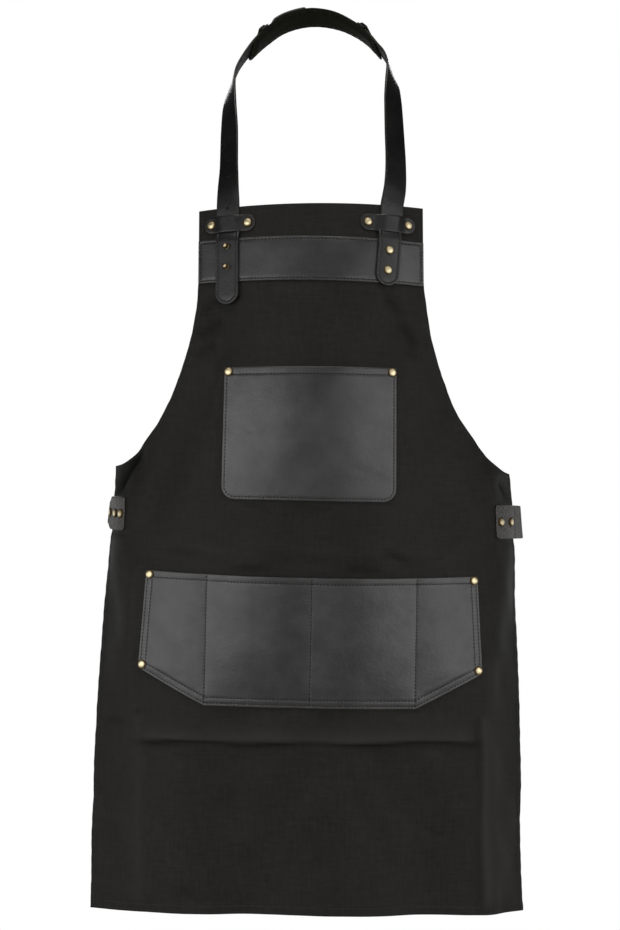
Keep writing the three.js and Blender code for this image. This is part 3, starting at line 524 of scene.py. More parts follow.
def freeCloth(s, level):  # 1 where the canvas hangs free, 0 where leather holds it
    free = np.ones_like(s)
    for patch in heldFlat:
        inside = ramp(np.abs(s - patch["middle"]), patch["half"] + heldFade["side"], patch["half"])
        inside = inside * ramp(level, patch["bottom"] - heldFade["bottom"], patch["bottom"])
        inside = inside * ramp(level, patch["top"] + heldFade["top"], patch["top"])
        free = free * (1 - inside)
    return free


def canvasRelief(s, level):
    s, level = np.broadcast_arrays(np.asarray(s, float), np.asarray(level, float))
    relief = sum(crease["depth"] * creaseShape(crease, s, level) for crease in creases)
    for wave in waves:
        turn = 2 * math.pi * (s / wave["across"] + level / wave["down"])
        relief = relief + wave["depth"] * np.sin(turn + wave["phase"])
    hemmed = ramp(cutHalf(level) - np.abs(s), pucker["reach"], 0)
    gather = np.sin(level / pucker["short"]) * np.sin(level / pucker["long"] + np.sign(s))
    relief = relief + pucker["depth"] * hemmed * gather
    return relief * freeCloth(s, level)


def canvasTint(kind, s, level):  # how pale the creases are painted, as wear with a painted highlight on the crests, and how dark, as painted shade in the folds
    lines = [crease[kind] * creaseShape(crease, s, level) ** 2 for crease in creases if kind in crease]
    return np.clip(sum(lines) * freeCloth(s, level), 0, 1)


def foldedHem(s, level, half):  # 1 on the doubled edge of the cloth
    ease = cloth["foldEase"]
    folds = [(level - cloth["hem"], cloth["hemFold"]), (cloth["bibTop"] - level, cloth["hemFold"]),
             (half - np.abs(s), cloth["sideFold"])]
    return np.maximum.reduce([ramp(inside, width + ease, width - ease) for inside, width in folds])


def canvasRows():
    edge, spacing = np.array(canvasMesh["hemRows"]), canvasMesh["spacing"]
    past = edge[-1] + canvasMesh["rowGap"]
    bib = np.arange(cloth["bibTop"] - past, cloth["bibStraightEnd"], -spacing)
    armholeDrop = cloth["waistCorner"] - cloth["bibStraightEnd"]
    quarter = np.radians(np.linspace(0, 90, canvasMesh["armholeRows"]))
    armhole = cloth["bibStraightEnd"] + armholeDrop * np.sin(quarter)
    count = int((cloth["waistCorner"] - cloth["hem"]) / spacing)
    skirt = np.linspace(cloth["waistCorner"], cloth["hem"] + past, count)[1:]
    return np.concatenate([cloth["bibTop"] - edge, bib, armhole, skirt, cloth["hem"] + edge[::-1]])


def canvasColumns(half):
    edge = np.array(canvasMesh["sideRows"])
    inner = np.linspace(-1, 1, canvasMesh["columns"])[1:-1] * (half - edge[-1])
    return np.concatenate([-half + edge, inner, half - edge[::-1]])


def placeOnCanvas(flat, height):
    return clothPoint(flat[:, 0], flat[:, 1], canvasRelief(flat[:, 0], flat[:, 1]) + height)


def makeCanvas():
    levels = canvasRows()
    halves = cutHalf(levels)
    s = np.stack([canvasColumns(half) for half in halves])
    tall, wide = s.shape
    level = np.repeat(levels[:, None], wide, axis=1)
    half = np.repeat(halves[:, None], wide, axis=1)
    flat = np.stack([s.ravel(), level.ravel()], axis=1)
    doubled = foldedHem(s, level, half).ravel() * cloth["foldWall"]
    outer = placeOnCanvas(flat, cloth["foldShow"] * doubled)
    inner = placeOnCanvas(flat, -cloth["wall"] - doubled)
    count = len(flat)
    faces = gridFaces(wide, tall) + gridFaces(wide, tall, count, True)
    rim = gridRim(wide, tall)
    for a, b in zip(rim, rim[1:] + rim[:1]):
        faces.append((b, a, a + count, b + count))
    # per point: paler crests, part wear and part painted highlight, and painted shade in the folds
    tints = {kind: np.tile(canvasTint(kind, *flat.T), 2) for kind in ("rub", "deep")}
    piece = replaceNode("canvas_body", np.vstack([outer, inner]), faces, canvasMaterial, "canvas",
                        attributes=tints, uv=np.vstack([flat, flat]), sharp=60)
    area = np.sum((halves[1:] + halves[:-1]) * -np.diff(levels)) * mm * mm
    return piece, area


canvasPiece, canvasArea = makeCanvas()
print("apron: canvas laid,", len(canvasPiece.data.polygons), "faces")


# Stitches

threadSize = {"pitch": 4.3, "length": 3.3, "radius": 0.72, "sides": 6, "sink": 0.5}


def stitchShape():
    spots = [-0.5, -0.38, 0, 0.38, 0.5]
    girth = [0.3, 0.85, 1, 0.85, 0.3]
    sides = threadSize["sides"]
    turn = np.arange(sides) * 2 * math.pi / sides
    points = [(x, g * math.cos(a), g * math.sin(a)) for x, g in zip(spots, girth) for a in turn]
    return np.array(points), ringFaces(len(spots), sides)


def sewRows(name, paths, place, height, pitch=None):
    shape, shapeFaces = stitchShape()
    allPoints, allFaces = [], []
    for path in paths:
        path = np.asarray(path, float)
        run = np.concatenate([[0], np.cumsum(np.linalg.norm(np.diff(path, axis=0), axis=1))])
        count = max(int(round(run[-1] / (pitch or threadSize["pitch"]))), 1)
        middles = (np.arange(count) + 0.5) * run[-1] / count
        reach = threadSize["length"] / 2
        start, middle, end = (
            np.stack([np.interp(at, run, path[:, k]) for k in (0, 1)], axis=1)
            for at in (middles - reach, middles, middles + reach)
        )
        low = place(middle, height)
        out = unit(place(middle, height + 1) - low)
        along = place(end, height) - place(start, height)
        aside = unit(np.cross(out, along))
        for k in range(count):
            lift = threadSize["radius"] * shape[:, 2] - threadSize["sink"] * (2 * shape[:, 0]) ** 2
            points = low[k] + shape[:, :1] * along[k] + lift[:, None] * out[k]
            points = points + threadSize["radius"] * shape[:, 1:2] * aside[k]
            first = len(allPoints) * len(shape)
            allFaces += [tuple(first + i for i in face) for face in shapeFaces]
            allPoints.append(points)
    return addPiece(name, np.vstack(allPoints), allFaces, threadMaterial, "canvas", sharp=80)


def insetPath(outline, inset):  # a closed outline moved inward, less far at a sharp corner
    outline = np.asarray(outline, float)
    before = unit(outline - np.roll(outline, 1, axis=0))
    after = unit(np.roll(outline, -1, axis=0) - outline)
    normal = unit(np.stack([-(before + after)[:, 1], (before + after)[:, 0]], axis=1))
    cosine = np.sum(normal * np.stack([-after[:, 1], after[:, 0]], axis=1), axis=1)
    return outline + normal * (inset / np.maximum(cosine, 0.4))[:, None]


hemSeam = {"bottom": 9.5, "side": 5, "pitch": 4, "ends": 4, "rise": 0.15}


def sewHems():
    ends = hemSeam["ends"]
    levels = np.linspace(cloth["bibTop"] - ends, cloth["hem"] + ends, 420)
    side = np.stack([cutHalf(levels) - hemSeam["side"], levels], axis=1)
    paths = [side, side * [-1, 1]]
    for half, level, count in ((cloth["skirtHalf"], cloth["hem"] + hemSeam["bottom"], 120),
                               (cloth["bibHalf"], cloth["bibTop"] - hemSeam["bottom"], 60)):
        across = np.linspace(-half + ends, half - ends, count)
        paths.append(np.stack([across, np.full_like(across, level)], axis=1))
    return sewRows("canvasHemStitches", paths, placeOnCanvas, hemSeam["rise"], hemSeam["pitch"])


hemStitches = sewHems()
print("apron: hems sewn")


# Leather, cut flat and laid on its place

leather = {"gap": 0.4, "wall": 2, "edgeRound": 0.7, "edgeRows": (0.12, 0.4, 0.7), "spacing": (4, 4),
           "seamDip": 0.3, "seamWidth": 1.2, "threadSink": 0.1, "curl": 0.3, "curlReach": 0.5,
           "strapEdge": 0.35, "paleReach": 0.9, "paleUnder": 0.3}
stitchHeight = leather["wall"] - leather["threadSink"]


def cutPattern(outline, insets, spacing, cuts=()):
    flat = bmesh.new()
    face = flat.faces.new([flat.verts.new((x, y, 0)) for x, y in outline])
    for step in np.diff([0, *insets]):
        bmesh.ops.inset_region(flat, faces=[face], thickness=float(step), use_even_offset=True,
                               use_boundary=True)
    outline = np.asarray(outline, float)
    low, high = outline.min(axis=0), outline.max(axis=0)
    for axis, normal in enumerate((Vector((1, 0, 0)), Vector((0, 1, 0)))):
        count = int((high[axis] - low[axis]) / spacing[axis])
        for at in [*np.linspace(low[axis], high[axis], count + 1)[1:-1], *(cuts if axis == 0 else ())]:
            everything = flat.verts[:] + flat.edges[:] + flat.faces[:]
            bmesh.ops.bisect_plane(flat, geom=everything, dist=1e-4, plane_co=normal * float(at),
                                   plane_no=normal)
    flat.normal_update()
    if sum(f.normal.z * f.calc_area() for f in flat.faces) < 0:
        bmesh.ops.reverse_faces(flat, faces=flat.faces[:])
    flat.verts.index_update()
    points = np.array([v.co[:2] for v in flat.verts])
    faces = [tuple(v.index for v in f.verts) for f in flat.faces]
    rim = []
    for edge in flat.edges:
        if edge.is_boundary:
            loop = edge.link_loops[0]
            rim.append((loop.vert.index, loop.link_loop_next.vert.index))
    flat.free()
    return points, faces, rim


def roundedTop(toEdge, wall):  # height of the face near a burnished edge
    inward = np.clip(1 - toEdge / leather["edgeRound"], 0, 1)
    return wall - leather["edgeRound"] * (1 - np.sqrt(1 - inward ** 2))


def layLeather(node, outline, place, seams=(), wall=leather["wall"], insets=(), spacing=leather["spacing"],
               worn=None, material=pocketMaterial, relief=None, cuts=()):
    points, faces, rim = cutPattern(outline, [*leather["edgeRows"], *insets], spacing, cuts)
    toEdge = toLines(points, outline, True)
    height = roundedTop(toEdge, wall)
    for seam in seams:
        fromSeam = toLines(points, seam, False) / leather["seamWidth"]
        height = height - leather["seamDip"] * np.exp(-fromSeam ** 2)
    if relief:
        height = height + relief(points)
    under = leather["curl"] * ramp(toEdge, leather["curlReach"], 0)
    count = len(points)
    allFaces = list(faces) + [tuple(i + count for i in reversed(face)) for face in faces]
    allFaces += [(b, a, a + count, b + count) for a, b in rim]
    pale = leather["strapEdge"] if material is strapMaterial else 1
    face = pale * ramp(toEdge, leather["paleReach"], 0)
    # worn marks paler patches on the face: brown cracks at the strap twists, and on the waist tabs handling
    # wear with a painted sheen
    if worn:
        face = np.maximum(face, worn(points))
    rub = np.concatenate([face, pale * ramp(toEdge, leather["paleUnder"], 0)])
    raw = np.repeat([0, 1], count)  # the flesh side is bare
    both = np.vstack([place(points, height), place(points, under)])
    return replaceNode(node, both, allFaces, material, "leather", attributes={"rub": rub, "raw": raw},
                       uv=np.vstack([points, points]))


# Chest band

# insets, here and below, are lines of the mesh inside the outline, close beside the seams
band = {"top": -291, "bottom": -344.5, "half": 142, "tilt": 0.015, "seam": 3, "insets": (2, 3, 4, 6)}


def placeOnBand(flat, height):
    return clothPoint(flat[:, 0], flat[:, 1] - band["tilt"] * flat[:, 0], leather["gap"] + height)


def makeBand():
    half, top, bottom = band["half"], band["top"], band["bottom"]
    outline = [(-half, bottom), (half, bottom), (half, top), (-half, top)]
    inner = insetPath(outline, band["seam"])
    seam = np.vstack([inner, inner[:1]])
    layLeather("chest_band", outline, placeOnBand, [seam], insets=band["insets"])
    sewRows("chestBandStitches", [seam], placeOnBand, stitchHeight)


makeBand()


# Chest pocket

chestPocket = {"top": -449.5, "bottom": -610.5, "topHalf": 105, "bottomHalf": 106, "corner": 16,
               "hollow": 2.5, "topCentre": -0.6, "bottomCentre": -3, "gap": 0.6, "seam": 3.4,
               "mouthSeam": 8.4, "mouthEnd": 9, "spacing": (3, 3),
               "insets": (2.2, 3.4, 4.6, 7.2, 8.4, 9.6, 12)}
chestScuffs = [
    {"from": (-78, -522), "to": (-66, -530), "left": 1.5, "right": 2.5, "depth": -0.6},
    {"from": (34, -566), "to": (98, -588), "left": 3, "right": 3, "depth": -0.25},
    {"from": (48, -558), "to": (94, -578), "left": 3, "right": 3, "depth": 0.15},
]
pocketRise = {"seam": 2, "slope": 80}


def pocketCentre(pocket, level):
    share = (pocket["top"] - level) / (pocket["top"] - pocket["bottom"])
    return pocket["topCentre"] + (pocket["bottomCentre"] - pocket["topCentre"]) * share


def standOff(hollow, distances):
    lift = hollow
    for distance in distances:
        lift = lift * ramp(distance, pocketRise["seam"], pocketRise["slope"])
    return lift


def placeOnChest(flat, height):
    p = chestPocket
    x, level = flat[:, 0], flat[:, 1]
    lift = standOff(p["hollow"], [p["bottomHalf"] - np.abs(x), level - p["bottom"]])
    return clothPoint(pocketCentre(p, level) + x, level, p["gap"] + lift + height)


def chestOutline(inset=0):
    top, bottom = chestPocket["top"], chestPocket["bottom"] + inset
    wide, low = chestPocket["topHalf"] - inset, chestPocket["bottomHalf"] - inset
    corner = chestPocket["corner"] - inset
    leftTurn = arc(-low + corner, bottom + corner, corner, 180, 270, 9)
    rightTurn = arc(low - corner, bottom + corner, corner, 270, 360, 9)
    return [(-wide, top), *leftTurn, *rightTurn, (wide, top)]


def scuffed(flat):  # shallow scratches on the face
    return sum(mark["depth"] * creaseShape(mark, flat[:, 0], flat[:, 1]) for mark in chestScuffs)


def makeChestPocket():
    p = chestPocket
    mouth, end = p["top"] - p["mouthSeam"], p["topHalf"] - p["mouthEnd"]
    seams = [chestOutline(p["seam"]), [(-end, mouth), (end, mouth)]]
    layLeather("chest_pocket", chestOutline(), placeOnChest, seams, insets=p["insets"], spacing=p["spacing"],
               relief=scuffed)
    sewRows("chestPocketStitches", seams, placeOnChest, stitchHeight)


makeChestPocket()
print("apron: chest leather laid")


# Lower pocket

lowerPocket = {"top": -699, "mouthSag": 4, "sideCorner": -817.5, "bottom": -859.5, "topHalf": 208,
               "sideHalf": 215.5, "bottomHalf": 129, "divider": 128, "hollow": 3, "topCentre": 1.2,
               "bottomCentre": -2, "gap": 0.6, "seams": (3, 9.6), "seamTop": 2, "mouthSeam": 7.7,
               "mouthEnd": 10, "dividerTop": 1, "dividerEnd": 2, "puff": 0.5, "puffRound": 9,
               "puffEdge": (10, 30), "besideSeam": (-3.4, -2, -1, 0, 1, 2, 3.4),
               "insets": (2, 3, 4, 6.6, 7.7, 8.6, 9.6, 10.6, 13)}


def lowerHalf(level):
    p = lowerPocket
    drop = (p["top"] - level) / (p["top"] - p["sideCorner"])
    upper = p["topHalf"] + (p["sideHalf"] - p["topHalf"]) * drop
    slant = (p["sideCorner"] - level) / (p["sideCorner"] - p["bottom"])
    lower = p["sideHalf"] + (p["bottomHalf"] - p["sideHalf"]) * slant
    return np.where(level > p["sideCorner"], upper, lower)


def placeOnLower(flat, height):
    p = lowerPocket
    x, level = flat[:, 0], flat[:, 1]
    half = lowerHalf(level)
    toSide, toBottom = half - np.abs(x), level - p["bottom"]
    toDivider = p["divider"] / 2 * np.abs(np.sin(math.pi * x / p["divider"]))  # smooth between the seams
    lift = standOff(p["hollow"], [toSide, toBottom, toDivider + pocketRise["seam"]])
    puff = p["puff"] * (1 - np.exp(-(toDivider / p["puffRound"]) ** 2))
    puff = puff * ramp(toSide, *p["puffEdge"]) * ramp(toBottom, *p["puffEdge"])
    share = np.clip(x / half, -1, 1)
    sag = p["mouthSag"] * (1 - share ** 2) * ramp(level, p["sideCorner"], p["top"])
    return clothPoint(pocketCentre(p, level) + x, level - sag, p["gap"] + lift + puff + height)


def makeLowerPocket():
    p = lowerPocket
    left = [(-p["topHalf"], p["top"]), (-p["sideHalf"], p["sideCorner"]), (-p["bottomHalf"], p["bottom"])]
    outline = [*left, *[(-x, level) for x, level in reversed(left)]]
    seams = []
    for inset in p["seams"]:
        path = insetPath(outline, inset)
        path[0, 1] = path[-1, 1] = p["top"] - p["seamTop"]
        seams.append(path)
    mouth, end = p["top"] - p["mouthSeam"], p["topHalf"] - p["mouthEnd"]
    seams.append([(-end, mouth), (end, mouth)])
    cuts = []
    for x in (-p["divider"], 0, p["divider"]):
        seams.append([(x, p["top"] - p["dividerTop"]), (x, p["bottom"] + p["dividerEnd"])])
        cuts += [x + step for step in p["besideSeam"]]
    layLeather("lower_pocket", outline, placeOnLower, seams, insets=p["insets"], cuts=cuts)
    sewRows("lowerPocketStitches", seams, placeOnLower, stitchHeight)


makeLowerPocket()
print("apron: lower pocket laid")


# Courses of the straps

def splinePoints(knots, count):  # centripetal Catmull-Rom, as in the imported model
    knots = np.asarray(knots, float)
    ends = np.vstack([2 * knots[0] - knots[1], knots, 2 * knots[-1] - knots[-2]])
    place = np.linspace(0, len(knots) - 1, count)
    i = np.minimum(place.astype(int), len(knots) - 2)
    w = (place - i)[:, None]
    p0, p1, p2, p3 = (ends[i + k] for k in range(4))
    pairs = ((p0, p1), (p1, p2), (p2, p3))
    d0, d1, d2 = (np.sum((b - a) ** 2, axis=1, keepdims=True) ** 0.25 for a, b in pairs)
    least = 1e-4
    d1 = np.where(d1 < least, 1, d1)
    d0 = np.where(d0 < least, d1, d0)
    d2 = np.where(d2 < least, d1, d2)
    leave = ((p1 - p0) / d0 - (p2 - p0) / (d0 + d1) + (p2 - p1) / d1) * d1
    arrive = ((p2 - p1) / d1 - (p3 - p1) / (d1 + d2) + (p3 - p2) / d2) * d1
    square = -3 * p1 + 3 * p2 - 2 * leave - arrive
    cube = 2 * p1 - 2 * p2 + leave + arrive
    return p1 + leave * w + square * w ** 2 + cube * w ** 3


def stationsOnCloth(spots):  # places on the cloth, each with the direction out of it
    stations = []
    for s, level, lift in spots:
        base, out = clothFrame(s, level)
        stations.append((base + out * lift, out))
    return stations


def courseOf(stations, fineness=40):
    count = len(stations) * fineness
    point = splinePoints([at for at, _ in stations], count)
    hint = splinePoints([out for _, out in stations], count)
    along = unit(np.gradient(point, axis=0))
    out = unit(hint - along * np.sum(hint * along, axis=1, keepdims=True))
    steps = np.linalg.norm(np.diff(point, axis=0), axis=1)
    length = np.concatenate([[0], np.cumsum(steps)])
    return {"length": length, "point": point, "out": out, "across": np.cross(along, out), "total": length[-1]}


def onCourse(course, lengths):
    rows = {}
    for key in ("point", "out", "across"):
        columns = [np.interp(lengths, course["length"], column) for column in course[key].T]
        rows[key] = np.stack(columns, axis=1)
    return rows["point"], unit(rows["out"]), unit(rows["across"])


def placeOnCourse(course, flat, height):
    point, out, across = onCourse(course, flat[:, 0])
    return point + across * flat[:, 1:2] + out * np.broadcast_to(height, len(flat))[:, None]


def reaches(course, axis, value):  # first length where the course passes a coordinate
    return course["length"][np.argmax(course["point"][:, axis] >= value)]


# Neck straps

strap = {"half": 14.7, "wall": 3, "tip": 4, "seam": 3.4, "seamTop": -283, "bandFrom": 7.5, "bandTo": 3,
         "lapTipX": -6, "lapEndX": -42, "lapRamp": 14, "lapClear": 3, "crackReach": 13,
         "insets": (2.2, 3.4, 4.6), "spacing": (4, 7)}
leftStrap = {"topS": -102.3, "lean": 0, "end": -371.5, "studs": (-300, -325.5), "twist": -97, "cracks": 0.8}
rightStrap = {"topS": 100, "lean": 0.086, "end": -349.5, "rivets": (-306.3, -330.8), "twist": -77,
              "cracks": 0.45}
strapHoles = {"radius": 1.4, "depth": 12, "sides": 20, "heights": (-170, -195.5, -217.5, -256)}
# Stations over the shoulders: x, y, z and the facing of the strap's outer side in degrees, 90 to the front
leftCourse = [
    (-100.2, -141.5, -230, 58),
    (-99.5, -130, -201.5, 47),
    (-99.4, -112, -159.5, 44),
    (-99.5, -94, -118.5, 30),
    (-97.5, -80, -97, 13),
    (-93.8, -70, -81.5, 0),
    (-85.5, -54, -61.5, -3),
    (-69.5, -31, -36.5, -10),
    (-52, -15.5, -18.5, -15),
    (-32, -5.5, -4, -19),
]
nape = (0, 1.94, 5.04, -21)
rightCourse = [
    (101.8, -141.5, -230, 64),
    (103, -130, -201.5, 57),
    (101.8, -114, -159.5, 52),
    (100.5, -97, -117.5, 45),
    (99.8, -84, -93.5, 32),
    (97.4, -72.5, -75, 11),
    (94, -64, -62, 3),
    (86.5, -47, -48, 0),
    (74, -30, -29.5, -4),
    (56.5, -15, -13.5, -9),
    (33, -5.2, -0.5, -17),
]


def strapCentre(side, level):
    return side["topS"] - side["lean"] * (cloth["bibTop"] - level)


def strapLift(level):
    onBand = ramp(level, band["top"] + strap["bandFrom"], band["top"] + strap["bandTo"])
    return leather["gap"] + (leather["wall"] + leather["gap"]) * onBand


def bibStations(side):
    top = band["top"]
    levels = [*np.linspace(side["end"], top, 5), top + strap["bandTo"], top + strap["bandFrom"],
              *np.linspace(top + 2 * strap["bandFrom"], cloth["bibTop"], 3)]
    return stationsOnCloth([(strapCentre(side, level), level, strapLift(level)) for level in levels])


def shoulderStations():
    rows = np.array([*leftCourse, nape, *reversed(rightCourse)], float)
    points = rows[:, :3]
    stations = []
    for i, facing in enumerate(np.radians(rows[:, 3])):
        along = unit(points[min(i + 1, len(rows) - 1)] - points[max(i - 1, 0)])
        front = np.array((0, -1.0, 0))
        front = unit(front - along * (front @ along))
        stations.append((points[i], np.cross(front, along) * math.cos(facing) + front * math.sin(facing)))
    return stations


neckCourse = courseOf([*bibStations(leftStrap), *shoulderStations(), *reversed(bibStations(rightStrap))])
lapStart = reaches(neckCourse, 0, strap["lapEndX"])
leftTip = reaches(neckCourse, 0, strap["lapTipX"])


def placeOnNeck(flat, height):
    return placeOnCourse(neckCourse, flat, height)


def placeLeftStrap(flat, height):  # lies on the right strap behind the neck
    climb = ramp(flat[:, 0], lapStart - strap["lapRamp"], lapStart - strap["lapClear"])
    return placeOnNeck(flat, height + (strap["wall"] + leather["gap"]) * climb)


def creased(middle, amount):  # the dye cracks and brown shows where the strap turns edge on
    return lambda flat: amount * np.exp(-((flat[:, 0] - middle) / strap["crackReach"]) ** 2)


def punch(piece, spots):
    radius, depth = strapHoles["radius"] * mm, strapHoles["depth"] * mm
    for point, out in spots:
        bit = bmesh.new()
        bmesh.ops.create_cone(bit, cap_ends=True, segments=strapHoles["sides"], radius1=radius,
                              radius2=radius, depth=depth)
        mesh = bpy.data.meshes.new("awl")
        bit.to_mesh(mesh)
        bit.free()
        awl = bpy.data.objects.new("awl", mesh)
        awl.location = Vector(point) * mm
        awl.rotation_mode = "QUATERNION"
        awl.rotation_quaternion = Vector((0, 0, 1)).rotation_difference(Vector(out))
        scene.collection.objects.link(awl)
        hole = piece.modifiers.new("hole", "BOOLEAN")
        hole.operation = "DIFFERENCE"
        hole.object = awl
        bpy.context.view_layer.update()
        cut = bpy.data.meshes.new_from_object(piece.evaluated_get(bpy.context.evaluated_depsgraph_get()))
        piece.modifiers.clear()
        piece.data = cut
        bpy.data.objects.remove(awl)


def makeStraps():
    half, tip, total = strap["half"], strap["tip"], neckCourse["total"]
    leftOutline = [*arc(half, 0, half, 270, 90, 17), *arc(leftTip - tip, half - tip, tip, 90, 0, 4),
                   *arc(leftTip - tip, -half + tip, tip, 0, -90, 4)]
    rightOutline = [(lapStart, half), *arc(total - half, 0, half, 90, -90, 17), (lapStart, -half)]
    inner = half - strap["seam"]
    leftEnd = reaches(neckCourse, 2, strap["seamTop"])
    rightEnd = total - leftEnd + (rightStrap["end"] - leftStrap["end"])
    leftSeam = [(leftEnd, -inner), *arc(half, 0, inner, 270, 90, 15), (leftEnd, inner)]
    rightSeam = [(rightEnd, inner), *arc(total - half, 0, inner, 90, -90, 15), (rightEnd, -inner)]
    lengths, heights = neckCourse["length"], neckCourse["point"][:, 2]
    leftTwist = lengths[np.argmax(heights > leftStrap["twist"])]
    rightTwist = lengths[::-1][np.argmax(heights[::-1] > rightStrap["twist"])]
    cut = {key: strap[key] for key in ("wall", "insets", "spacing")}
    left = layLeather("strap_left", leftOutline, placeLeftStrap, [leftSeam], material=strapMaterial,
                      worn=creased(leftTwist, leftStrap["cracks"]), **cut)
    layLeather("strap_right", rightOutline, placeOnNeck, [rightSeam], material=strapMaterial,
               worn=creased(rightTwist, rightStrap["cracks"]), **cut)
    spots = []
    for height in strapHoles["heights"]:
        point, out, _ = onCourse(neckCourse, np.array([reaches(neckCourse, 2, height)]))
        spots.append((point[0], out[0]))
    punch(left, spots)
    onFace = strap["wall"] - leather["threadSink"]
    sewRows("strapLeftStitches", [leftSeam], placeLeftStrap, onFace)
    sewRows("strapRightStitches", [rightSeam], placeOnNeck, onFace)


makeStraps()
print("apron: neck straps laid")


# Strap keepers on the bib

keeper = {"halfHeight": 10.2, "rivetInset": 9.5, "foot": 21, "shoulder": 6, "rise": 2.9, "insets": (2, 3.2),
          "spacing": (1.2, 3)}
keepers = [
    {"node": "keeper_left", "s": -100.6, "level": -271.2, "turn": -0.4, "half": 33, "side": leftStrap},
    {"node": "keeper_right", "s": 95.4, "level": -273, "turn": -1.7, "half": 35.5, "side": rightStrap},
]


def keeperSpot(place, x, y):
    turn = math.radians(place["turn"])
    return (place["s"] + x * math.cos(turn) - y * math.sin(turn),
            place["level"] + x * math.sin(turn) + y * math.cos(turn))


def makeKeeper(place):
    radius = keeper["halfHeight"]
    straight = place["half"] - radius

    def onKeeper(flat, height):
        s, level = keeperSpot(place, flat[:, 0], flat[:, 1])
        fromStrap = np.abs(s - strapCentre(place["side"], level))
        lift = keeper["rise"] * ramp(fromStrap, keeper["foot"], keeper["shoulder"])
        return clothPoint(s, level, leather["gap"] + lift + height)

    outline = [*arc(-straight, 0, radius, 90, 270, 13), *arc(straight, 0, radius, 270, 450, 13)]
    layLeather(place["node"], outline, onKeeper, insets=keeper["insets"], spacing=keeper["spacing"],
               material=strapMaterial)


for place in keepers:
    makeKeeper(place)


# Neck pad and its loops

pad = {"half": 22.5, "wall": 5, "edgeWall": 2.4, "leftX": -77, "rightX": 86, "endRadius": 15,
       "crown": (3, 14), "seam": 4.6, "dip": 1.1, "dipWidth": 1.3, "threadSink": 0.25, "gather": 0.25,
       "gatherLength": 9, "gatherReach": 4, "edgeRound": 1.2, "spacing": (3, 4),
       "insets": (0.15, 0.5, 1.2, 2.4, 3.6, 4.6, 5.6, 7.5, 10)}
padKeepers = {"pad_keeper_left": -61, "pad_keeper_right": 67.5}  # where each loop crosses the pad
padKeeper = {"halfWidth": 5, "wall": 2.4, "rise": 4.6, "end": 21.8, "foot": 19.4, "shoulder": 15.4,
             "spacing": (3, 1.2)}


def makePad():
    radius = pad["endRadius"]
    left = reaches(neckCourse, 0, pad["leftX"]) + radius
    right = reaches(neckCourse, 0, pad["rightX"]) - radius
    side = pad["half"] - radius
    outline = [*arc(right, -side, radius, -90, 0, 8), *arc(right, side, radius, 0, 90, 8),
               *arc(left, side, radius, 90, 180, 8), *arc(left, -side, radius, 180, 270, 8)]
    points, faces, rim = cutPattern(outline, pad["insets"], pad["spacing"])
    toEdge = toLines(points, outline, True)
    fromSeam = toEdge - pad["seam"]
    crown = pad["edgeWall"] + (pad["wall"] - pad["edgeWall"]) * ramp(toEdge, *pad["crown"])
    gather = np.sin(points[:, 0] * 2 * math.pi / pad["gatherLength"])
    gather = pad["gather"] * gather * np.exp(-(fromSeam / pad["gatherReach"]) ** 2)
    dip = pad["dip"] * np.exp(-(fromSeam / pad["dipWidth"]) ** 2)
    inward = np.clip(1 - toEdge / pad["edgeRound"], 0, 1)
    edge = pad["edgeWall"] / 2 * (1 - np.sqrt(1 - inward ** 2))
    inner = -leather["gap"] - (crown + gather - dip - edge)
    outer = -leather["gap"] - edge / 2
    count = len(points)
    allFaces = [tuple(reversed(face)) for face in faces] + [tuple(i + count for i in face) for face in faces]
    allFaces += [(a, b, b + count, a + count) for a, b in rim]
    both = np.vstack([placeOnNeck(points, inner), placeOnNeck(points, outer)])
    piece = replaceNode("neck_pad", both, allFaces, suedeMaterial, "suede", uv=np.vstack([points, points]))
    seam = insetPath(outline, pad["seam"])
    depth = pad["edgeWall"] - pad["threadSink"] + leather["gap"]
    sewRows("neckPadStitches", [np.vstack([seam, seam[:1]])],
            lambda flat, height: placeOnNeck(flat, -depth - height), 0)


def onPadKeeper(flat, height):
    lift = padKeeper["rise"] * ramp(np.abs(flat[:, 1]), padKeeper["foot"], padKeeper["shoulder"])
    return placeOnNeck(flat, lift + height)


def makePadKeeper(node, x):
    middle, wide, end = reaches(neckCourse, 0, x), padKeeper["halfWidth"], padKeeper["end"]
    outline = [(middle - wide, -end), (middle + wide, -end), (middle + wide, end), (middle - wide, end)]
    layLeather(node, outline, onPadKeeper, wall=padKeeper["wall"], spacing=padKeeper["spacing"],
               material=strapMaterial)


makePad()
for node, x in padKeepers.items():
    makePadKeeper(node, x)
print("apron: keepers and neck pad made")


# Waist tabs, straps and clasp

# rubbed is how pale the tab faces are painted: handling wear together with a painted sheen of the backdrop
tab = {"level": -632.5, "half": 20.5, "corner": 4.5, "paleWearAndSheen": 0.6, "paleSheenFade": (90, 60), "bend": 0.9,
       "bendWidth": 1.3, "dimple": 0.7, "dimpleReach": 8, "insets": (2, 3, 4)}
leftTab = {"side": -1, "onCloth": 40, "taperStart": 42, "taperEnd": 62, "end": 62, "rivets": (6.5, 21.5, 47),
           "spacing": (2.5, 3)}
rightTab = {"side": 1, "onCloth": 43.5, "taperStart": 66, "taperEnd": 97, "end": 69.5, "rivets": (8, 31),
            "spacing": (3, 4)}
waistStrap = {"half": 13.5, "clearOfCloth": 3, "wall": 2, "insets": (2, 3), "spacing": (4, 7)}
waistBack = {"y": 50, "z": -633.5, "swing": 22, "reach": 150}
# The edges of the socket and the prong are measured from the split and the lower edge of the clasp
clasp = {"width": 52, "height": 36, "depth": 10, "slot": 14, "slotFloor": 1, "split": 6, "splitGap": 0.8,
         "prong": 8, "corner": 3, "taper": 3,
         "socketEdge": ((-18, 1), (-16, 6.5), (-6, 6.5), (-4, 0), (0, 0)),
         "prongEdge": ((-15, 5.7), (-14, 1.5), (-5.5, 0.4), (-6.8, 5.7))}


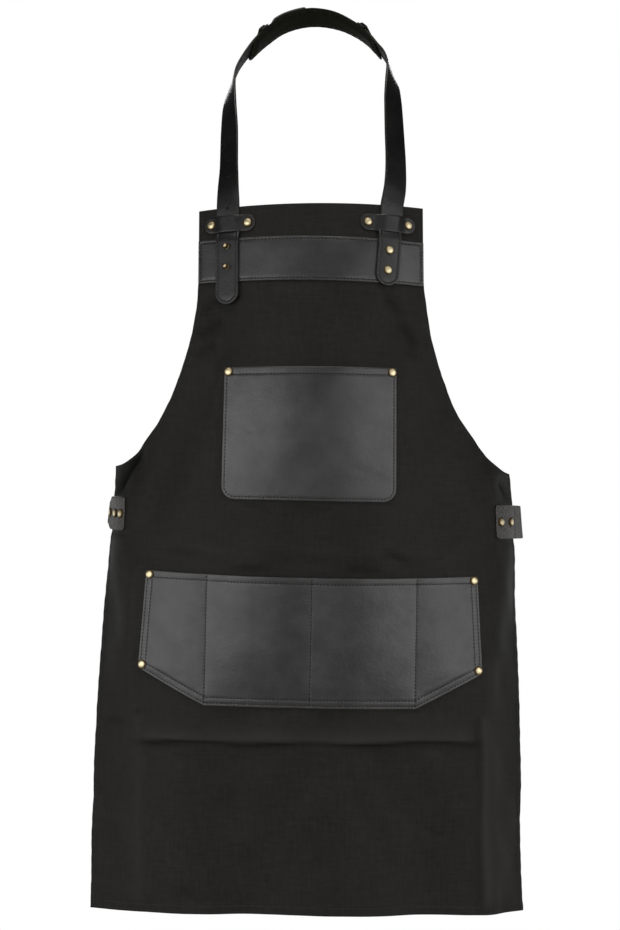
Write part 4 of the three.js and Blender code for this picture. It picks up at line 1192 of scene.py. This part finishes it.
def tabS(place, distance):
    return place["side"] * (cloth["skirtHalf"] - place["onCloth"] + distance)


def tabHalf(place, distance):
    taper = ramp(distance, place["taperStart"], place["taperEnd"])
    return tab["half"] - (tab["half"] - waistStrap["half"]) * taper


def tabStations(place, distances, lift):
    return stationsOnCloth([(tabS(place, distance), tab["level"], lift) for distance in distances])


def backStations(side, stations):
    (before, _), (start, _) = stations[-2:]
    leaving = unit(start - before)
    meets = np.array((side * clasp["width"] / 2, waistBack["y"], waistBack["z"]), float)
    reach = np.array((side * waistBack["reach"], 0, 0))
    knots = [start, start + leaving * waistBack["swing"], meets + reach, meets]
    runs = [b - a for a, b in zip(knots, knots[1:])]
    swung = []
    for t in np.linspace(0, 1, 9)[1:]:
        at = sum(math.comb(3, k) * t ** k * (1 - t) ** (3 - k) * knots[k] for k in range(4))
        along = sum(math.comb(2, k) * t ** k * (1 - t) ** (2 - k) * runs[k] for k in range(3))
        swung.append((at, unit(-side * np.cross((0, 0, 1.0), along))))
    x = side * (clasp["width"] / 2 - clasp["slot"] + clasp["slotFloor"])
    inClasp = np.array((x, waistBack["y"], waistBack["z"]), float)
    return [*stations, *swung, (inClasp, np.array((0, 1.0, 0)))]


def stripOutline(place, total):  # a tab with round inner corners that narrows to the strap
    corner = tab["corner"]
    lengths = np.linspace(place["taperStart"], min(place["taperEnd"], total), 12)
    upper = [*arc(corner, tab["half"] - corner, corner, 180, 90, 5)]
    upper += [(length, float(tabHalf(place, length))) for length in lengths]
    if total > lengths[-1] + 1:
        upper.append((total, float(tabHalf(place, total))))
    return [*upper, *[(x, -y) for x, y in reversed(upper)]]


def onTab(place, course):
    def lay(flat, height):
        length = flat[:, 0]
        free = placeOnCourse(course, flat, height)
        up = np.sign(onCourse(course, length)[2][:, 2])
        level = tab["level"] + flat[:, 1] * up
        sewn = clothPoint(tabS(place, np.minimum(length, place["end"])), level, leather["gap"] + height)
        share = ramp(length, place["onCloth"] + waistStrap["clearOfCloth"], place["end"])[:, None]
        return sewn * (1 - share) + free * share
    return lay


def paleSheenOnTab(flat):  # pale from handling, and a painted sheen where the backdrop would shine in the tab; less so along the strap
    return tab["paleWearAndSheen"] * ramp(flat[:, 0], *tab["paleSheenFade"])


def pulledIn(place):  # leather pulled down round its rivets
    spots = [(distance, 0) for distance in place["rivets"]]
    reach = tab["dimpleReach"] ** 2

    def relief(flat):
        return sum(-tab["dimple"] * np.exp(-np.sum((flat - spot) ** 2, axis=1) / reach) for spot in spots)
    return relief


def bentBack(place):  # and also along the line where the canvas under it ends
    pulled = pulledIn(place)

    def relief(flat):
        fromBend = (flat[:, 0] - place["onCloth"]) / tab["bendWidth"]
        return pulled(flat) - tab["bend"] * np.exp(-fromBend ** 2)
    return relief


def makeWaist():
    # the tabs get their pale face, handling wear with a painted sheen of the backdrop
    handledAndSheened = {"insets": tab["insets"], "worn": paleSheenOnTab, "material": tabMaterial}
    tabCourse = courseOf(tabStations(leftTab, np.linspace(0, leftTab["end"] + 1, 8), leather["gap"]))
    layLeather("waist_tab_left", stripOutline(leftTab, leftTab["end"]), onTab(leftTab, tabCourse),
               spacing=leftTab["spacing"], relief=pulledIn(leftTab), **handledAndSheened)
    start = leftTab["onCloth"] + waistStrap["clearOfCloth"]
    stations = tabStations(leftTab, np.linspace(start, leftTab["end"], 4), -waistStrap["wall"])
    leftWaist = courseOf(backStations(-1, stations))
    half, total = waistStrap["half"], leftWaist["total"]
    outline = [(0, -half), (total, -half), (total, half), (0, half)]
    layLeather("waist_strap_left", outline, lambda flat, height: placeOnCourse(leftWaist, flat, height),
               insets=waistStrap["insets"], spacing=waistStrap["spacing"], material=tabMaterial)
    stations = tabStations(rightTab, np.linspace(0, rightTab["end"], 8), leather["gap"])
    rightWaist = courseOf(backStations(1, stations))
    cuts = rightTab["onCloth"] + tab["bendWidth"] * np.linspace(-2, 2, 7)
    layLeather("waist_strap_right", stripOutline(rightTab, rightWaist["total"]), onTab(rightTab, rightWaist),
               spacing=rightTab["spacing"], relief=bentBack(rightTab), cuts=cuts, **handledAndSheened)


def roundCorners(outline, radius):
    outline = np.asarray(outline, float)
    rounded = []
    for before, corner, after in zip(np.roll(outline, 1, axis=0), outline, np.roll(outline, -1, axis=0)):
        start, end = (corner + unit(other - corner) * min(radius, 0.45 * np.linalg.norm(other - corner))
                      for other in (before, after))
        for t in np.linspace(0, 1, 5):
            rounded.append((1 - t) ** 2 * start + 2 * t * (1 - t) * corner + t ** 2 * end)
    return np.array(rounded)


def mouldPlate(outline, depth):  # an outline across the back, with a rounded edge to the front and the rear
    levels = [(-1, 1.2), (-0.88, 0.35), (-0.7, 0), (0.7, 0), (0.88, 0.35), (1, 1.2)]  # share of depth, inset
    rings = []
    for side, inset in levels:
        ring = insetPath(outline, inset)
        rings.append(np.stack([ring[:, 0], np.full(len(ring), side * depth / 2), ring[:, 1]], axis=1))
    count = len(outline)
    faces = [tuple(range(count)), tuple(reversed(range((len(levels) - 1) * count, len(levels) * count)))]
    for r in range(len(levels) - 1):
        for k in range(count):
            a, b = r * count + k, r * count + (k + 1) % count
            faces.append((a, a + count, b + count, b))
    return np.vstack(rings), faces


def mirrored(outline):
    return [(x, -z) for x, z in reversed(outline)]


def makeClasp():
    wide, tall, split = clasp["width"] / 2, clasp["height"] / 2, clasp["split"]
    socket, prong = ([(split + x, z - tall) for x, z in clasp[edge]] for edge in ("socketEdge", "prongEdge"))
    corner = clasp["taper"] - tall
    socket = [(-wide, corner), *socket]
    plug = [(split + clasp["splitGap"], -tall), (wide, corner)]
    plates = [(socket + mirrored(socket), clasp["depth"]), (plug + mirrored(plug), clasp["depth"]),
              (prong, clasp["prong"]), (mirrored(prong), clasp["prong"])]
    points, faces = [], []
    for outline, depth in plates:
        first = sum(len(part) for part in points)
        part, partFaces = mouldPlate(roundCorners(outline, clasp["corner"]), depth)
        points.append(part)
        faces += [tuple(first + i for i in face) for face in partFaces]
    middle = np.array((0, waistBack["y"] + waistStrap["wall"] / 2, waistBack["z"]))
    replaceNode("waist_clasp", np.vstack(points) + middle, faces, claspMaterial, "clasp", sharp=40)


makeWaist()
makeClasp()
print("apron: waist straps laid")


# Rivets and studs

rivet = {"cap": 5.6, "dome": 2.3, "back": 4, "backWall": 1, "shank": 1.5, "sides": 36, "inset": 5.4,
         "rise": 0.45, "tip": 0.02, "gap": 0.1}
stud = {"flange": 3.2, "flangeWall": 0.4, "neck": 2, "neckTop": 1.2, "ball": 3.5}


def turnPiece(node, base, out, profile):
    sides = rivet["sides"]
    turn = np.arange(sides) * 2 * math.pi / sides
    sideways = unit(np.cross(out, (0, 0, 1.0)))
    upward = np.cross(sideways, out)
    ring = np.outer(np.cos(turn), sideways) + np.outer(np.sin(turn), upward)
    points, low = [], []
    for radius, height, patinaAndShade in profile:
        points.append(base + out * height + ring * max(radius, rivet["tip"]))
        low += [patinaAndShade] * sides
    replaceNode(node, np.vstack(points), ringFaces(len(profile), sides), brassMaterial, "brass",
                attributes={"low": low}, sharp=50)


# A profile is turned about the rivet's axis. Each row has a radius, a height and how dark the brass is there:
# patina in the low rings, and painted shade on the slopes of rivet domes and stud balls.
def backProfile(back):
    under = back - rivet["backWall"]
    return [(0, under, 0.3), (rivet["back"] - 0.4, under, 0.2), (rivet["back"], under + 0.3, 0.5),
            (rivet["back"], back, 0.8), (rivet["shank"], back, 0.8)]


def rivetProfile(front, back):
    cap, rise = rivet["cap"], rivet["rise"]
    # the dome darkens from its top to its rim: patina at the rim, and painted shade on the slopes that dims
    # their reflections
    domed = [(cap * math.cos(a), front + rise + (rivet["dome"] - rise) * math.sin(a),
              float(ramp(math.cos(a), 0.4, 1.02))) for a in np.radians(np.linspace(8, 90, 13))]
    return [*backProfile(back), (rivet["shank"], front, 0.9), (cap - 0.5, front, 0.9),
            (cap, front + 0.15, 0.8), *domed]


def studProfile(front, back):
    ball, rim, top = stud["ball"], stud["flange"], front + stud["flangeWall"]
    centre = front + stud["neckTop"] + 0.8 * ball
    # painted shade and highlight: the ball is dark at its sides and bright at its front
    globe = [(ball * math.cos(a), centre + ball * math.sin(a), float(ramp(math.cos(a), 0.2, 0.8)))
             for a in np.radians(np.linspace(-52, 90, 14))]
    return [*backProfile(back), (rivet["shank"], front, 0.9), (rim - 0.3, front, 0.8),
            (rim, front + 0.3, 0.6), (rim - 0.4, top, 0.5), (stud["neck"], top + 0.2, 0.9), *globe]


sewnFace = leather["gap"] + leather["wall"]
pocketFace = chestPocket["gap"] + leather["wall"]
strapFace = strapLift(band["bottom"]) + strap["wall"]
clothBack = -cloth["wall"] - rivet["gap"]


def fasten(node, s, level, profile):
    turnPiece(node, *clothFrame(float(s), float(level)), profile)


def makeFasteners():
    inset = rivet["inset"]
    faces = (sewnFace, pocketFace, strapFace)
    onLeather, onPocket, onStrap = (rivetProfile(face, clothBack) for face in faces)
    for place in keepers:
        for end, sign in (("left", -1), ("right", 1)):
            spot = keeperSpot(place, sign * (place["half"] - keeper["rivetInset"]), 0)
            fasten(f"{place['node']}_rivet_{end}", *spot, onLeather)
    for i, level in enumerate(leftStrap["studs"]):
        fasten(f"strap_stud_{i + 1}", strapCentre(leftStrap, level), level, studProfile(strapFace, clothBack))
    for i, level in enumerate(rightStrap["rivets"]):
        fasten(f"strap_rivet_{i + 1}", strapCentre(rightStrap, level), level, onStrap)
    lowerRows = {"top": lowerPocket["top"] - inset, "bottom": lowerPocket["sideCorner"] + 0.7 * inset}
    for side, sign in (("left", -1), ("right", 1)):
        level = chestPocket["top"] - inset
        s = pocketCentre(chestPocket, level) + sign * (chestPocket["topHalf"] - inset)
        fasten(f"chest_rivet_{side}", s, level, onPocket)
        for row, level in lowerRows.items():
            s = pocketCentre(lowerPocket, level) + sign * (lowerHalf(level) - inset)
            fasten(f"pocket_rivet_{row}_{side}", s, level, onPocket)
    for side, place in (("left", leftTab), ("right", rightTab)):
        for i, distance in enumerate(place["rivets"]):
            back = clothBack if distance < place["onCloth"] else -waistStrap["wall"]
            profile = rivetProfile(sewnFace, back)
            fasten(f"waist_rivet_{side}_{i + 1}", tabS(place, distance), tab["level"], profile)


makeFasteners()
print("apron: rivets and studs set")


# Floor, light and surroundings, in metres

floor = {"drop": 1.38, "radius": 1.15, "paint": "#e9e7e3", "sides": 96}
lamps = [
    {"name": "leftHigh", "at": (-1.86, -2.76, -0.1), "size": (3.2, 0.62), "glow": 4},
    {"name": "leftLow", "at": (-2.7, -1.89, -1.05), "size": (2.65, 0.7), "glow": 3.1},
    {"name": "rightHigh", "at": (1.92, -2.63, -0.11), "size": (2.5, 0.54), "glow": 3.45},
    {"name": "rightLow", "at": (2.72, -1.86, -1.05), "size": (2.6, 0.7), "glow": 3.1},
    {"name": "rightEdge", "at": (2.5, -2.1, 0.6), "size": (1.0, 0.5), "glow": 4},
    {"name": "front", "at": (0.12, -4.6, -0.8), "size": (0.6, 0.6), "glow": 3},
    {"name": "leftBack", "at": (-2.41, 0.97, -0.85), "size": (3.4, 1.1), "glow": 1},
    {"name": "rightBack", "at": (2.41, 0.97, -0.85), "size": (3.4, 1.1), "glow": 1},
    {"name": "overhead", "at": (0, -2.6, 4), "size": (3.6, 2), "glow": 7.5},
    {"name": "rear", "at": (0, 3.4, 0.3), "size": (3, 1.6), "glow": 6},
]
# The inner ends of the two low lamps fade out in steps, so that no hard edge shows in the leather
fade = {"from": (1.88, -2.92), "to": (0.6, -3.8), "height": -1.05, "width": 0.7,
        "glows": (2.75, 2, 1.15, 0.35)}
for name, sign in (("leftFade", -1), ("rightFade", 1)):
    edges = np.linspace(fade["from"], fade["to"], len(fade["glows"]) + 1)
    for i, glow in enumerate(fade["glows"]):
        x, y = (edges[i] + edges[i + 1]) / 2
        length = math.dist(edges[i], edges[i + 1])
        lamps.append({"name": f"{name}{i + 1}", "at": (sign * x, y, fade["height"]),
                      "size": (length, fade["width"]), "glow": glow})
# To the camera the surroundings are white. They light the apron as a pale backdrop behind it in a dim room.
surround = {"seen": "#ffffff", "light": "#f4f4f6", "room": 0.03, "backdrop": 0.1, "aim": (0, -0.15, -0.6)}


def addFloor():
    disc = bmesh.new()
    bmesh.ops.create_circle(disc, cap_ends=True, segments=floor["sides"], radius=floor["radius"])
    mesh = bpy.data.meshes.new("floor")
    disc.to_mesh(mesh)
    disc.free()
    finish = {"Base Color": hexColour(floor["paint"]), "Roughness": 0.8}
    material, tree, shader, _ = startMaterial("floorPaintedMatt", finish)
    grain = addNode(tree, "TexNoise", {"Scale": 40, "Detail": 3})
    bump = addNode(tree, "Bump", {"Strength": 0.05, "Distance": mm}, {"Height": grain})
    joinNode(tree, shader, {"Normal": bump})
    mesh.materials.append(material)
    piece = bpy.data.objects.new("floor", mesh)
    piece.location = (0, 0, -floor["drop"])
    scene.collection.objects.link(piece)


def addLamps():
    for lamp in lamps:
        data = bpy.data.lights.new(lamp["name"], "AREA")
        data.shape = "RECTANGLE"
        data.size, data.size_y = lamp["size"]
        data.energy = lamp["glow"] * math.pi * lamp["size"][0] * lamp["size"][1]
        light = bpy.data.objects.new(lamp["name"], data)
        light.location = lamp["at"]
        light.rotation_mode = "QUATERNION"
        light.rotation_quaternion = (Vector(surround["aim"]) - light.location).to_track_quat("-Z", "Y")
        light.visible_camera = False
        scene.collection.objects.link(light)


def addSurround():
    world = bpy.data.worlds.new("studio")
    world.use_nodes = True
    scene.world = world
    tree = world.node_tree
    seen = tree.nodes["Background"]
    seen.inputs["Color"].default_value = hexColour(surround["seen"])
    place = addNode(tree, "TexCoord")
    parts = addNode(tree, "SeparateXYZ", {}, {0: place.outputs["Generated"]})
    steps = {"From Min": 0.35, "From Max": 0.75, "To Min": surround["room"], "To Max": surround["backdrop"]}
    glow = addNode(tree, "MapRange", {"interpolation_type": "SMOOTHSTEP", **steps},
                   {"Value": parts.outputs["Y"]})
    lighting = addNode(tree, "Background", {"Color": hexColour(surround["light"])}, {"Strength": glow})
    ray = addNode(tree, "LightPath").outputs["Is Camera Ray"]
    mix = addNode(tree, "MixShader", {}, {0: ray, 1: lighting, 2: seen})
    joinNode(tree, tree.nodes["World Output"], {"Surface": mix})
    scene.view_settings.view_transform = "Standard"


addFloor()
addLamps()
addSurround()
print("apron: stage set")
